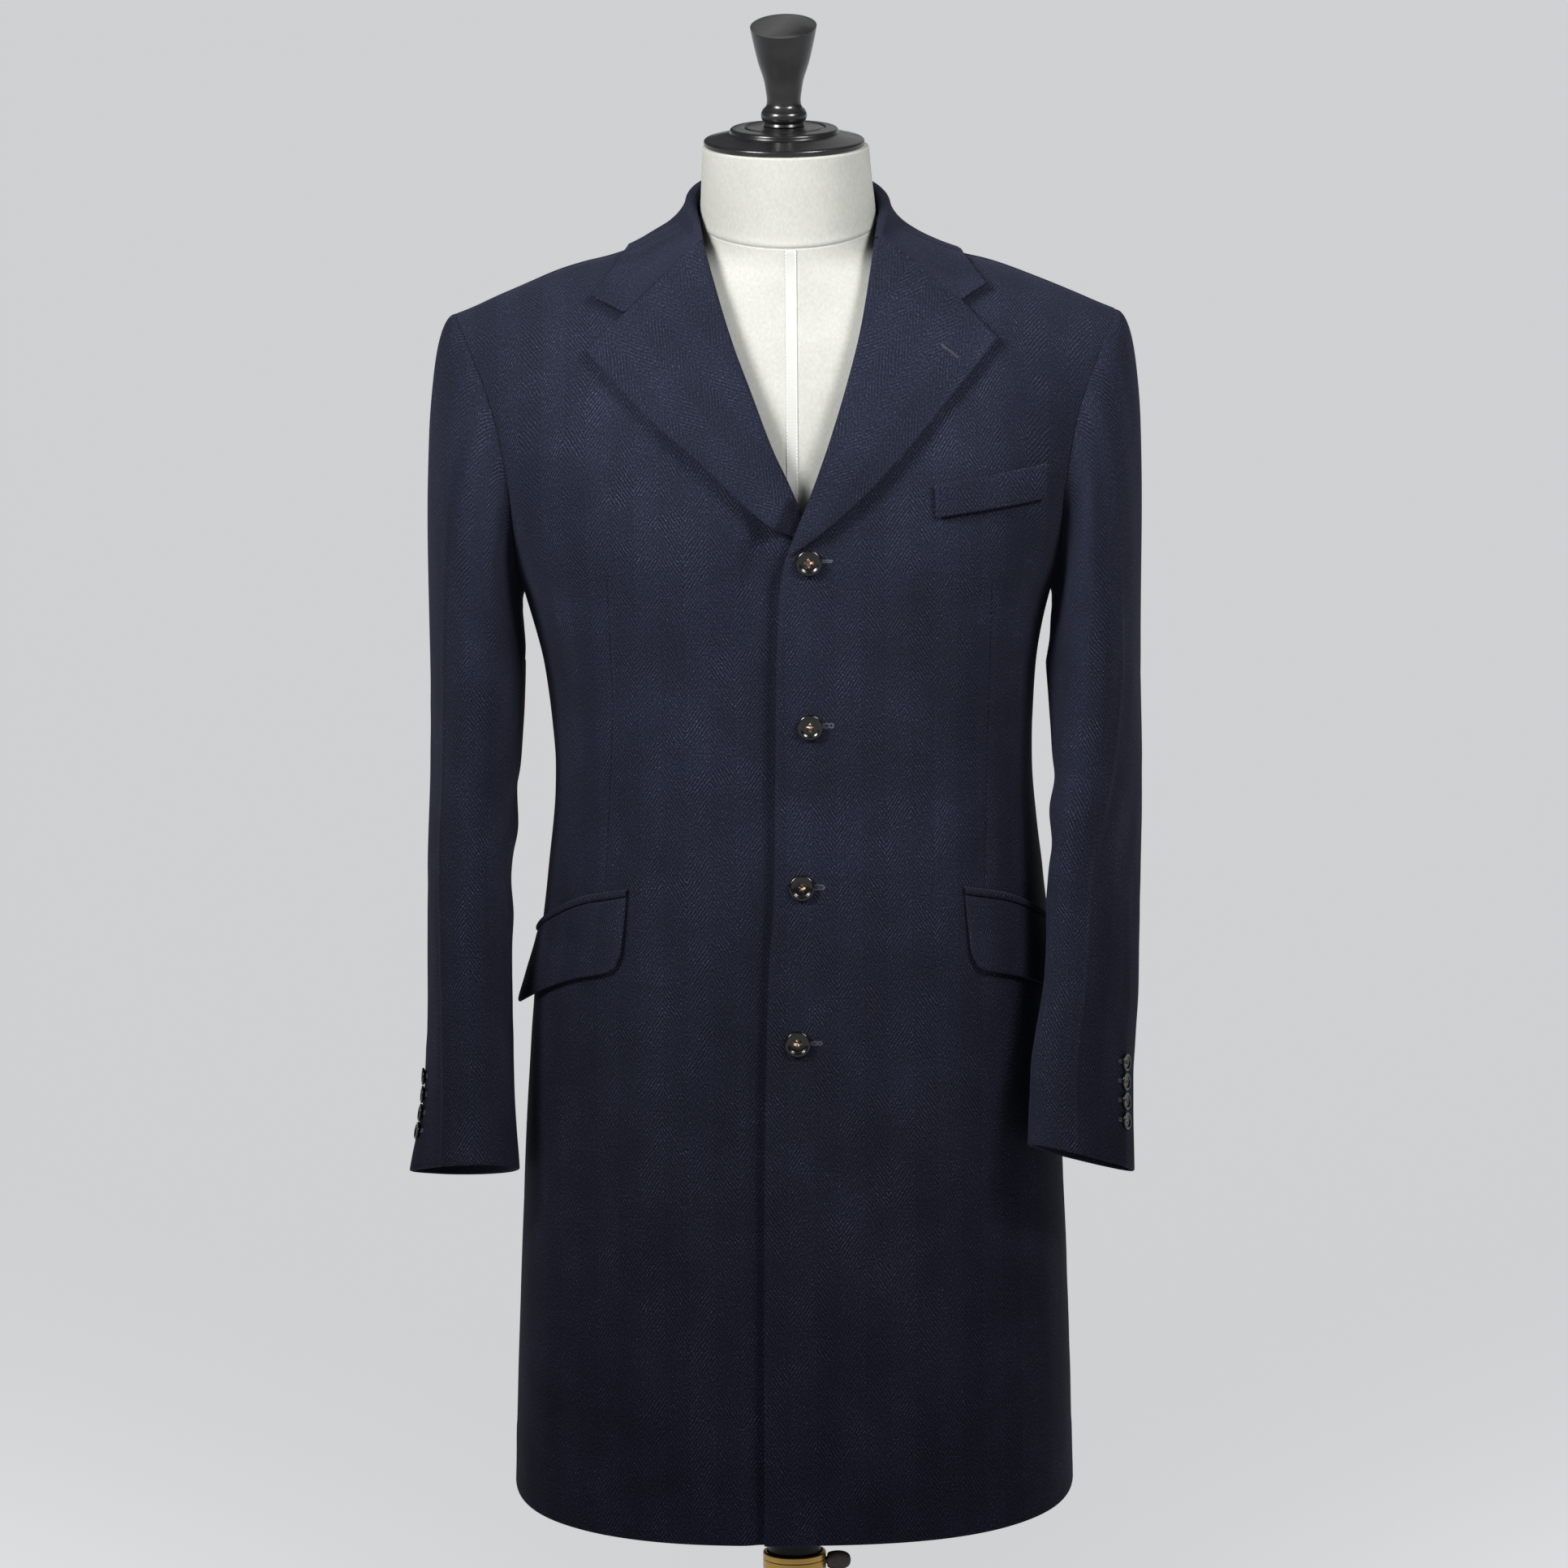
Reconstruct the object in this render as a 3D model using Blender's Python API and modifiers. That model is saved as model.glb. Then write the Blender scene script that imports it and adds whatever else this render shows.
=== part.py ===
"""A wool overcoat buttoned on a limbless tailor's dress form, which stands on a telescopic pole.

Metres, +Z up. The floor is z = 0 and the pole's axis is x = y = 0. The coat faces -Y, so the
wearer's left is +X. Each piece of cloth is a wall between an outer and an inner grid of points.
Both are worked out from the coat's outer surface, which has two coordinates: a level, which is
a height that slopes down along the shoulders, and a turn, in degrees from the centre front.
"""

import math

import bmesh
import bpy
import numpy as np
from mathutils import Matrix, Vector

# Cloth
CLOTH = 0.0024  # one made-up layer of coating
SEAM = 0.0003  # gap between two pieces that are sewn together
LAP = 0.0012  # gap between two layers that lie on each other

# Coat: levels
HEM = 0.530
VENT_TOP = 0.860
ARMPIT = 1.222
ARCH = 1.260  # where the chest and back start to round over towards the shoulder ridge
RIDGE = 1.515  # the shoulder ridge where it meets the neck
HEM_DIP = 0.011  # the front of the hem hangs this much lower than its sides

# Stand and dress form
TUBE_RADIUS = 0.0242
TUBE_BORE = 0.0212
TUBE_TOP = 0.469
INNER_POLE_RADIUS = 0.0203
INNER_POLE_FOOT = 0.120
FORM_FOOT = 0.880
CLAMP_HEIGHT = 0.461
CLAMP_BORE = 0.0032  # radius
FINIAL_CUT = 1.6517  # height of the slanted top at its middle
FINIAL_SLANT_X = 0.03
FINIAL_SLANT_Y = 0.225


def table(columns, *rows):
    """Columns of a table, by name, from its rows."""
    return dict(zip(columns.split(), np.array(rows, float).T, strict=True))


# Half-width, depth to the front and to the back, squareness and sideways shift of the body
BODY = table(
    "level  width   front   back   square  shift",
    (0.530, 0.2135, 0.1820, 0.1700, 2.60, 0.0005),
    (0.640, 0.2105, 0.1720, 0.1630, 2.55, 0.0008),
    (0.780, 0.2053, 0.1580, 0.1530, 2.45, 0.0018),
    (0.900, 0.1995, 0.1500, 0.1450, 2.40, 0.0035),
    (1.000, 0.1885, 0.1430, 0.1360, 2.35, 0.0045),
    (1.087, 0.1810, 0.1340, 0.1240, 2.30, 0.0040),
    (1.160, 0.1860, 0.1370, 0.1260, 2.30, 0.0020),
    (1.222, 0.1990, 0.1400, 0.1290, 2.35, 0.0000),
    (1.260, 0.2125, 0.1400, 0.1300, 2.50, 0.0000),
    (1.340, 0.2288, 0.1380, 0.1310, 2.80, 0.0000),
    (1.400, 0.2380, 0.1370, 0.1300, 3.00, 0.0000),
    (1.450, 0.2512, 0.1360, 0.1290, 3.00, 0.0000),
    (1.490, 0.2610, 0.1350, 0.1280, 3.00, 0.0000),
    (1.515, 0.2650, 0.1350, 0.1280, 3.00, 0.0000),
)
# How far the shoulder ridge lies below its height at the neck
SHOULDER = table(
    "across  drop",
    (0.000, 0.0000),
    (0.050, 0.0010),
    (0.067, 0.0068),
    (0.090, 0.0185),
    (0.113, 0.0306),
    (0.134, 0.0378),
    (0.150, 0.0416),
    (0.166, 0.0464),
    (0.192, 0.0564),
    (0.216, 0.0664),
    (0.238, 0.0762),
    (0.249, 0.0806),
    (0.266, 0.0870),
)
# Turn at which the sleeve seam cuts the front and the back, each counted from its own centre
ARMHOLE = table(
    "level  front  back",
    (1.222, 90.0, 90.0),
    (1.232, 81.0, 81.0),
    (1.260, 73.0, 72.0),
    (1.340, 62.2, 61.0),
    (1.400, 60.2, 58.5),
    (1.450, 59.2, 58.5),
    (1.490, 61.2, 60.8),
    (1.515, 65.6, 65.6),
)
# Front edge, then roll line, of the wearer's left front, which buttons over the right one
LEFT_EDGE = table(
    "level  x",
    (0.530, -0.0228),
    (0.778, -0.0208),
    (0.948, -0.0164),
    (1.015, -0.0116),
    (1.191, -0.0085),
    (1.239, -0.0062),
    (1.260, -0.0040),
    (1.275, 0.0012),
    (1.288, 0.0056),
    (1.303, 0.0129),
    (1.330, 0.0235),
    (1.384, 0.0418),
    (1.420, 0.0526),
    (1.465, 0.0623),
    (1.498, 0.0680),
    (1.508, 0.0725),
    (1.515, 0.0768),
)
RIGHT_EDGE = table(
    "level  x",
    (0.530, 0.0180),
    (0.780, 0.0220),
    (1.020, 0.0310),
    (1.160, 0.0400),
    (1.215, 0.0420),
    (1.262, 0.0300),
    (1.303, 0.0102),
    (1.330, -0.0010),
    (1.358, -0.0139),
    (1.402, -0.0306),
    (1.449, -0.0479),
    (1.492, -0.0610),
    (1.508, -0.0670),
    (1.515, -0.0718),
)
# Inner edge of each half of the back: centre seam, then the neckline
BACK_NECK = table(
    "level  left    right",
    (0.530, 0.00015, -0.00015),
    (1.4795, 0.00015, -0.00015),
    (1.4882, 0.0386, -0.0336),
    (1.4970, 0.0535, -0.0485),
    (1.5040, 0.0636, -0.0586),
    (1.5100, 0.0712, -0.0662),
    (1.5150, 0.0768, -0.0718),
)
VENT_LAP = 0.036  # width of the underlap at the back vent

# Sleeves below the armhole: centre and half-sizes of the section in plan, its turn about the
# vertical, its forward and outward fall, and how far the vent's corner stands out
LEFT_SLEEVE = table(
    "height  x       y       thin    deep    turn   fore   aside  flare",
    (0.803, 0.2190, -0.1150, 0.0320, 0.0580, 32.0, 0.284, 0.220, 0.0000),
    (0.860, 0.2201, -0.0960, 0.0300, 0.0570, 32.0, 0.260, 0.150, 0.0000),
    (0.935, 0.2282, -0.0750, 0.0265, 0.0560, 30.0, 0.220, 0.080, 0.0000),
    (1.010, 0.2309, -0.0450, 0.0270, 0.0630, 24.0, 0.160, 0.030, 0.0000),
    (1.090, 0.2337, -0.0220, 0.0318, 0.0720, 12.0, 0.080, 0.000, 0.0000),
    (1.165, 0.2315, -0.0070, 0.0358, 0.0815, 4.0, 0.000, 0.000, 0.0000),
)
RIGHT_SLEEVE = table(
    "height  x       y       thin    deep    turn   fore   aside  flare",
    (0.784, 0.2440, -0.0580, 0.0368, 0.0560, 6.0, 0.296, 0.000, 0.0090),
    (0.850, 0.2437, -0.0430, 0.0330, 0.0600, 4.0, 0.260, 0.000, 0.0010),
    (0.930, 0.2435, -0.0260, 0.0322, 0.0665, 2.0, 0.200, 0.000, 0.0000),
    (1.010, 0.2425, -0.0110, 0.0325, 0.0725, 0.0, 0.120, 0.000, 0.0000),
    (1.090, 0.2375, -0.0040, 0.0345, 0.0790, 0.0, 0.050, 0.000, 0.0000),
    (1.165, 0.2345, -0.0020, 0.0370, 0.0835, 0.0, 0.000, 0.000, 0.0000),
)
HIND_SEAM = -14.0  # degrees round the sleeve, behind the outer side
FORE_SEAM = 152.0  # inner front

# Lapels, from the break up: the roll line and the outer edge
LEFT_LAPEL = table(
    "share  roll_x  roll_z  edge_x  edge_z",
    (0.00, 0.0004, 1.2750, 0.0022, 1.2716),
    (0.09, 0.0081, 1.2944, 0.0250, 1.2885),
    (0.21, 0.0190, 1.3210, 0.0600, 1.3185),
    (0.36, 0.0310, 1.3535, 0.0920, 1.3518),
    (0.57, 0.0460, 1.4000, 0.1250, 1.3878),
    (0.74, 0.0560, 1.4365, 0.1450, 1.4092),
    (1.00, 0.0668, 1.4935, 0.1570, 1.4242),
)
RIGHT_LAPEL = table(
    "share  roll_x   roll_z  edge_x   edge_z",
    (0.00, 0.0200, 1.2840, 0.0160, 1.2812),
    (0.09, 0.0114, 1.3029, -0.0071, 1.2910),
    (0.19, 0.0030, 1.3235, -0.0300, 1.3085),
    (0.32, -0.0100, 1.3510, -0.0650, 1.3415),
    (0.52, -0.0260, 1.3925, -0.1000, 1.3702),
    (0.69, -0.0395, 1.4272, -0.1270, 1.3955),
    (1.00, -0.0605, 1.4930, -0.1483, 1.4184),
)
# Their top edges: the seam with the collar as far as the notch, then the notch's lower side
LEFT_LAPEL_TOP = table(
    "share  x       z",
    (0.00, 0.0668, 1.4935),
    (0.67, 0.1302, 1.4486),
    (1.00, 0.1570, 1.4242),
)
RIGHT_LAPEL_TOP = table(
    "share  x        z",
    (0.00, -0.0605, 1.4930),
    (0.67, -0.1190, 1.4424),
    (1.00, -0.1483, 1.4184),
)
LAPEL_COLUMNS = (0, 0.07, 0.2, 0.34, 0.5, 0.67, 0.84, 1)
# How high the lapels and the collar's front stand over the coat, by distance from the roll line
ROLL = table(
    "distance  lift",
    (0.000, 0.0014),
    (0.006, 0.0040),
    (0.022, 0.0058),
    (0.055, 0.0044),
    (0.100, 0.0024),
    (0.200, 0.0020),
)

# Collar, from the centre back to the front: its fold's angle and distance round the neck, the
# fold's height, the outer edge in plan, and the stand's height
NECK_CENTRE = 0.0025
LEFT_COLLAR = table(
    "share  around  away    fold_z  edge_x  edge_y   stand",
    (0.00, 0.0, 0.0735, 1.5340, 0.0010, 0.0800, 0.0440),
    (0.25, 33.0, 0.0735, 1.5320, 0.0560, 0.0760, 0.0380),
    (0.48, 64.0, 0.0730, 1.5265, 0.1060, 0.0520, 0.0180),
    (0.64, 87.0, 0.0730, 1.5205, 0.1300, 0.0160, 0.0110),
    (0.80, 107.0, 0.0748, 1.5130, 0.1365, -0.0130, 0.0060),
    (0.92, 119.0, 0.0793, 1.5045, 0.1430, -0.0340, 0.0015),
    (1.00, 126.0, 0.0822, 1.5005, 0.1495, -0.0485, 0.0006),
)
RIGHT_COLLAR = table(
    "share  around  away    fold_z  edge_x   edge_y   stand",
    (0.00, 0.0, 0.0735, 1.5340, 0.0010, 0.0800, 0.0440),
    (0.25, -33.0, 0.0735, 1.5330, -0.0530, 0.0760, 0.0390),
    (0.48, -64.0, 0.0730, 1.5290, -0.0980, 0.0520, 0.0205),
    (0.64, -87.0, 0.0730, 1.5235, -0.1160, 0.0120, 0.0140),
    (0.80, -107.0, 0.0745, 1.5140, -0.1240, -0.0190, 0.0070),
    (0.92, -119.5, 0.0780, 1.5045, -0.1340, -0.0430, 0.0015),
    (1.00, -125.7, 0.0804, 1.5005, -0.1445, -0.0579, 0.0006),
)
# Their front edges: the seam with the lapel as far as the notch, then the notch's upper side
LEFT_COLLAR_FRONT = table(
    "share  x       z",
    (0.00, 0.0680, 1.4952),
    (0.76, 0.1313, 1.4503),
    (1.00, 0.1495, 1.4605),
)
RIGHT_COLLAR_FRONT = table(
    "share  x        z",
    (0.00, -0.0619, 1.4946),
    (0.76, -0.1204, 1.4440),
    (1.00, -0.1445, 1.4550),
)
FALL_COLUMNS = (0, 0.14, 0.28, 0.44, 0.6, 0.76, 0.88, 1)
FOLD_RADIUS = 0.0045

# Breast welt, as a four-sided patch: its lower and upper edges in the coat's front view
WELT = table(
    "share  low_x   low_z   top_x   top_z",
    (0.0, 0.1108, 1.2987, 0.1098, 1.3229),
    (1.0, 0.1917, 1.3070, 0.1931, 1.3336),
)
# Hip pockets, from the front to the side seam: the flap's turn, top and bottom
FLAP = table(
    "share  turn   top     bottom  left    right",
    (0.00, 39.0, 1.0070, 0.9560, 0.0010, 0.0010),
    (0.06, 41.5, 1.0053, 0.9500, 0.0012, 0.0012),
    (0.30, 53.5, 0.9975, 0.9405, 0.0014, 0.0014),
    (0.65, 72.0, 0.9780, 0.9220, 0.0016, 0.0020),
    (1.00, 91.0, 0.9550, 0.9000, 0.0020, 0.0084),
)
JET = 0.0066

FRONT_BUTTONS = table(
    "x       z",
    (0.0161, 1.2675),
    (0.0161, 1.1416),
    (0.0091, 1.0189),
    (0.0052, 0.9009),
)
# Cuff buttons along the outer side: height above the cuff's middle, and angle round the sleeve
CUFF_BUTTONS = table(
    "place  left_up  left_round  right_up  right_round",
    (1, 0.0316, -12.0, 0.0290, 0.0),
    (2, 0.0453, -12.0, 0.0425, 0.0),
    (3, 0.0590, -12.0, 0.0560, 0.0),
    (4, 0.0727, -12.0, 0.0695, 0.0),
)
FRONT_BUTTON_RADIUS = 0.0101
CUFF_BUTTON_RADIUS = 0.0068
BUTTON_LIFT = 0.0016  # gap between a front button and the cloth it is sewn to
BUTTON_HOLE = 0.0009  # radius
HOLE_SPREAD = 0.0026  # from the button's middle to each hole
BUTTON_THICKNESS = 0.34  # as a share of the button's radius
BUTTON = table(
    "radius  height",
    (0.00, 0.56),
    (0.58, 0.62),
    (0.76, 0.92),
    (0.90, 1.00),
    (1.00, 0.72),
    (0.96, 0.42),
    (0.72, 0.00),
    (0.00, 0.00),
)

# Dress form: half-width, depth to the front and to the back, and the middle's sideways place
TORSO = table(
    "height   side    front   back    middle",
    (0.8800, 0.1380, 0.0980, 0.0940, 0.0015),
    (0.8900, 0.1500, 0.1080, 0.1040, 0.0020),
    (0.9600, 0.1600, 0.1180, 0.1130, 0.0030),
    (1.0200, 0.1560, 0.1120, 0.1060, 0.0040),
    (1.0870, 0.1490, 0.1050, 0.0960, 0.0040),
    (1.1600, 0.1560, 0.1100, 0.1010, 0.0030),
    (1.2600, 0.1720, 0.1200, 0.1090, 0.0025),
    (1.3200, 0.1760, 0.1170, 0.1080, 0.0025),
    (1.3800, 0.1780, 0.1060, 0.1000, 0.0025),
    (1.4200, 0.1720, 0.0920, 0.0900, 0.0025),
    (1.4500, 0.1480, 0.0780, 0.0775, 0.0025),
    (1.4680, 0.1060, 0.0700, 0.0685, 0.0025),
    (1.4790, 0.0800, 0.0668, 0.0660, 0.0027),
    (1.4880, 0.0705, 0.0658, 0.0655, 0.0027),
    (1.4970, 0.0672, 0.0654, 0.0654, 0.0027),
    (1.5120, 0.0662, 0.0650, 0.0650, 0.0025),
    (1.5300, 0.0648, 0.0640, 0.0640, 0.0019),
    (1.5500, 0.0634, 0.0630, 0.0630, 0.0014),
    (1.5655, 0.0622, 0.0620, 0.0620, 0.0012),
)
# Profiles of the turned pieces, each down its outer side from top to bottom
NECK_CAP = table(
    "radius  height",
    (0.0000, 1.5762),
    (0.0180, 1.5762),
    (0.0290, 1.5753),
    (0.0300, 1.5745),
    (0.0310, 1.5752),
    (0.0395, 1.5745),
    (0.0407, 1.5736),
    (0.0412, 1.5712),
    (0.0598, 1.5690),
    (0.0608, 1.5680),
    (0.0608, 1.5664),
    (0.0600, 1.5658),
    (0.0000, 1.5658),
)
FINIAL = table(
    "radius  height",
    (0.0000, 1.6640),
    (0.0262, 1.6640),
    (0.0247, 1.6490),
    (0.0229, 1.6400),
    (0.0193, 1.6247),
    (0.0148, 1.6102),
    (0.0128, 1.5945),
    (0.0130, 1.5915),
    (0.0160, 1.5888),
    (0.0173, 1.5845),
    (0.0168, 1.5800),
    (0.0150, 1.5765),
    (0.0000, 1.5765),
)
INNER_POLE = table(
    "radius  height",
    (0.0000, FORM_FOOT - 0.0003),
    (INNER_POLE_RADIUS - 0.001, FORM_FOOT - 0.0003),
    (INNER_POLE_RADIUS, FORM_FOOT - 0.0013),
    (INNER_POLE_RADIUS, INNER_POLE_FOOT + 0.001),
    (INNER_POLE_RADIUS - 0.001, INNER_POLE_FOOT),
    (0.0000, INNER_POLE_FOOT),
)
BASE = table(
    "radius  height",
    (0.0000, 0.0240),
    (0.0400, 0.0240),
    (0.0900, 0.0190),
    (0.1780, 0.0150),
    (0.1890, 0.0100),
    (0.1900, 0.0040),
    (0.1850, 0.0000),
    (0.0000, 0.0000),
)
TUBE = table(
    "radius  height",
    (TUBE_BORE + 0.0006, TUBE_TOP),
    (TUBE_RADIUS - 0.001, TUBE_TOP),
    (TUBE_RADIUS, TUBE_TOP - 0.001),
    (TUBE_RADIUS, 0.0243),
    (TUBE_BORE, 0.0243),
    (TUBE_BORE, TUBE_TOP - 0.0006),
)
CLAMP = table(
    "radius  height",
    (0.0000, 0.0078),
    (0.0060, 0.0078),
    (0.0060, 0.0060),
    (0.0052, 0.0044),
    (0.0027, 0.0042),
    (0.0027, 0.0000),
    (0.0000, 0.0000),
)


def smooth(xs, ys, at):
    """A smooth curve through the points (xs, ys), with no overshoot between them."""
    gap = np.diff(xs)
    rise = np.diff(ys) / gap
    slope = np.concatenate([rise[:1], np.zeros(len(rise) - 1), rise[-1:]])
    product = rise[:-1] * rise[1:]
    turning = product > 0
    slope[1:-1][turning] = 2 * product[turning] / (rise[:-1] + rise[1:])[turning]
    at = np.clip(at, xs[0], xs[-1])
    i = np.clip(np.searchsorted(xs, at) - 1, 0, len(gap) - 1)
    t = (at - xs[i]) / gap[i]
    start = (1 + 2 * t) * (1 - t) ** 2 * ys[i] + t * (1 - t) ** 2 * gap[i] * slope[i]
    return start + t**2 * (3 - 2 * t) * ys[i + 1] + t**2 * (t - 1) * gap[i] * slope[i + 1]


def read(rows, column, at):
    """A column of a table at a value of the table's first column."""
    return smooth(next(iter(rows.values())), rows[column], at)


def read_straight(rows, column, at):
    """The same, with straight lines between the table's rows."""
    return np.interp(at, next(iter(rows.values())), rows[column])


def ramp(value, low, high):
    """0 below low, 1 above high, and a soft step between them."""
    t = np.clip((value - low) / (high - low), 0, 1)
    return t * t * (3 - 2 * t)


def unit(vectors):
    return vectors / np.linalg.norm(vectors, axis=-1, keepdims=True)


# The coat's outer surface


def shoulder_drop(level, x):
    """How far a level lies below its own height, at a distance from the centre."""
    return read(SHOULDER, "drop", np.abs(x)) * ramp(level, 1.20, RIDGE)


def depths(level):
    """How far the surface lies in front of and behind the axis."""
    up = np.clip((level - ARCH) / (RIDGE - ARCH), 0, 1)
    front = read(BODY, "front", level) * np.sqrt(np.maximum(1 - up**2.0, 0))
    back = read(BODY, "back", level) * np.sqrt(np.maximum(1 - up**2.6, 0))
    return front, back


def body_point(level, turn):
    """A point of the coat's outer surface. turn: 0 front, 90 wearer's left, 180 back, -90 right."""
    level, turn = np.broadcast_arrays(np.asarray(level, float), np.asarray(turn, float))
    power = 2 / read(BODY, "square", level)
    sine, cosine = np.sin(np.radians(turn)), np.cos(np.radians(turn))
    front, back = depths(level)
    across = read(BODY, "width", level) * np.sign(sine) * np.abs(sine) ** power
    y = np.where(cosine > 0, -front, back) * np.abs(cosine) ** power
    dip = HEM_DIP * np.maximum(cosine, 0) * (1 - ramp(level, HEM, 0.95))
    return np.stack(
        [across + read(BODY, "shift", level), y, level - shoulder_drop(level, across) - dip], axis=-1
    )


def turn_at(level, x, behind=False):
    """The turn at which the surface has this x."""
    share = (x - read(BODY, "shift", level)) / read(BODY, "width", level)
    sine = np.sign(share) * np.clip(np.abs(share), 0, 1) ** (read(BODY, "square", level) / 2)
    turn = np.degrees(np.arcsin(sine))
    return 180 - turn if behind else turn


def level_at(x, z):
    """The level of the front's surface at this x and height."""
    level = np.asarray(z, float)
    for _ in range(12):
        turn = turn_at(level, x)
        dip = HEM_DIP * np.cos(np.radians(turn)) * (1 - ramp(level, HEM, 0.95))
        level = np.minimum(z + dip + shoulder_drop(level, x - read(BODY, "shift", level)), RIDGE)
    return level


def body_normal(level, turn):
    """Outward normal of the coat's surface, steady at the centre and at the sides too."""
    point = body_point(level, turn)
    wide, square = read(BODY, "width", level), read(BODY, "square", level)
    front, back = depths(level)
    depth = np.maximum(np.where(point[..., 1] > 0, back, front), 0.002)
    x = point[..., 0] - read(BODY, "shift", level)
    flat = np.stack(
        [
            np.sign(x) * (np.abs(x) / wide) ** (square - 1) / wide,
            np.sign(point[..., 1]) * (np.abs(point[..., 1]) / depth) ** (square - 1) / depth,
            np.zeros_like(x),
        ],
        axis=-1,
    )
    step = 2e-4
    low, high = np.maximum(level - step, HEM), np.minimum(level + step, RIDGE)
    rise = body_point(high, turn) - body_point(low, turn)
    flat = unit(flat)
    rise = unit(rise)
    return unit(flat - rise * np.sum(flat * rise, axis=-1, keepdims=True))


def row_turns(level, first, last, shares):
    """Turns at equal shares of the surface's length between two turns, at one level."""
    turns = np.linspace(first, last, 160)
    points = body_point(level, turns)
    length = np.concatenate([[0], np.cumsum(np.linalg.norm(np.diff(points, axis=0), axis=1))])
    return np.interp(np.asarray(shares) * length[-1], length, turns)


def panel_levels(low_rows, high_rows, extra=()):
    """Levels of a panel's rows, closer together where the panel rounds over the shoulder."""
    high = ARCH + (RIDGE - ARCH) * np.sin(np.linspace(0, math.pi / 2, high_rows + 1))
    return np.unique(np.concatenate([np.linspace(HEM, ARCH, low_rows), high, extra]))


# Solids from grids of points


def closed_wall(outer, inner):
    """A mesh's points and faces for the wall between two grids of rows and columns."""
    rows, columns = outer.shape[:2]
    count = rows * columns
    index = np.arange(count).reshape(rows, columns)
    faces = []
    for i in range(rows - 1):
        for j in range(columns - 1):
            square = [index[i, j], index[i, j + 1], index[i + 1, j + 1], index[i + 1, j]]
            faces.append(square)
            faces.append([k + count for k in reversed(square)])
    border = [index[0, j] for j in range(columns)]
    border += [index[i, -1] for i in range(1, rows)]
    border += [index[-1, j] for j in range(columns - 2, -1, -1)]
    border += [index[i, 0] for i in range(rows - 2, 0, -1)]
    for here, after in zip(border, border[1:] + border[:1], strict=True):
        faces.append([after, here, here + count, after + count])
    return np.concatenate([outer.reshape(-1, 3), inner.reshape(-1, 3)]), faces


def add_object(name, mesh, material):
    obj = bpy.data.objects.new(name, mesh)
    mesh.materials.append(material)
    parts.objects.link(obj)
    return obj


def add_mesh(name, points, faces, material):
    """An object from points and faces, with its faces turned outwards."""
    mesh = bpy.data.meshes.new(name)
    mesh.from_pydata([tuple(map(float, p)) for p in points], [], [list(map(int, f)) for f in faces])
    shaped = bmesh.new()
    shaped.from_mesh(mesh)
    bmesh.ops.recalc_face_normals(shaped, faces=shaped.faces)
    if shaped.calc_volume(signed=True) < 0:
        bmesh.ops.reverse_faces(shaped, faces=shaped.faces)
    shaped.to_mesh(mesh)
    shaped.free()
    mesh.shade_smooth()
    mesh.set_sharp_from_angle(angle=math.radians(50))
    return add_object(name, mesh, material)


def cloth(name, outer, outward, material, thick=CLOTH):
    """A wall of cloth whose outer side is a grid of points and whose inner side lies behind it."""
    return add_mesh(name, *closed_wall(outer, outer - outward * thick), material)


# The body's panels


def under_left_front(level, x):
    """1 where the left front covers this place, 0 beyond its edge."""
    return ramp(x - read(LEFT_EDGE, "x", level), -0.018, -0.007)


def front_tuck(level, x):
    """How far the right front lies inwards where the left front covers it."""
    below = ramp(x, -0.050, -0.026) * (1 - ramp(level, 1.300, 1.350))
    lapel = under_left_front(level, x + 0.018) * ramp(level, 1.20, 1.26)
    return (CLOTH + LAP) * (below + lapel)


def body_panel(name, levels, first, last, columns, material, behind=False, tuck=None):
    """A panel between two edges, which are turns as functions of the level."""
    shares = np.linspace(0, 1, columns)
    outer, inner = [], []
    for level in levels:
        turns = row_turns(level, first(level), last(level), shares)
        rows = np.full(columns, level)
        points, out = body_point(rows, turns), body_normal(rows, turns)
        if tuck:
            points = points - out * np.reshape(tuck(level, points[:, 0]), (-1, 1))
        outer.append(points)
        inner.append(points - out * CLOTH)
    outer, inner = np.array(outer), np.array(inner)
    for grid in (outer, inner):
        if behind:
            grid[..., 1] = np.maximum(grid[..., 1], SEAM / 2)
        else:
            grid[..., 1] = np.minimum(grid[..., 1], -SEAM / 2)
    return add_mesh(name, *closed_wall(outer, inner), material)


def seam_turn(level):
    """Half the seam's gap, as a turn at the side."""
    return np.degrees(SEAM / 2 / read(BODY, "front", level))


def make_fronts(material):
    levels = panel_levels(12, 11, (1.278, 1.303, 1.316))

    def left_out(level):
        return read(ARMHOLE, "front", level) - seam_turn(level)

    body_panel(
        "front_left", levels,
        lambda level: turn_at(level, read(LEFT_EDGE, "x", level)), left_out, 13, material,
    )
    body_panel(
        "front_right", levels,
        lambda level: turn_at(level, read(RIGHT_EDGE, "x", level)),
        lambda level: -left_out(level), 14, material, tuck=front_tuck,
    )


def vent_tuck(level, x):
    """How far the right half of the back lies inwards under the left one at the vent."""
    return (CLOTH + LAP + SEAM) * ramp(x, -0.030, -0.008) * (1 - ramp(level, VENT_TOP, VENT_TOP + 0.03))


def make_backs(material):
    levels = panel_levels(11, 8, (VENT_TOP - 0.03, VENT_TOP, VENT_TOP + 0.03, 1.4795, 1.4870))

    def out(level):
        return 180 - read(ARMHOLE, "back", level) + seam_turn(level)

    def left_centre(level):
        return turn_at(level, read(BACK_NECK, "left", level), True)

    def right_centre(level):
        lap = VENT_LAP * (1 - ramp(level, VENT_TOP - 0.03, VENT_TOP))
        x = lap if lap > 0.001 else read(BACK_NECK, "right", level)
        return turn_at(level, x, True) - 360

    body_panel("back_left", levels, left_centre, out, 10, material, True)
    body_panel(
        "back_right", levels, right_centre, lambda level: -out(level), 11, material, True, vent_tuck
    )


# Sleeves


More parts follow.
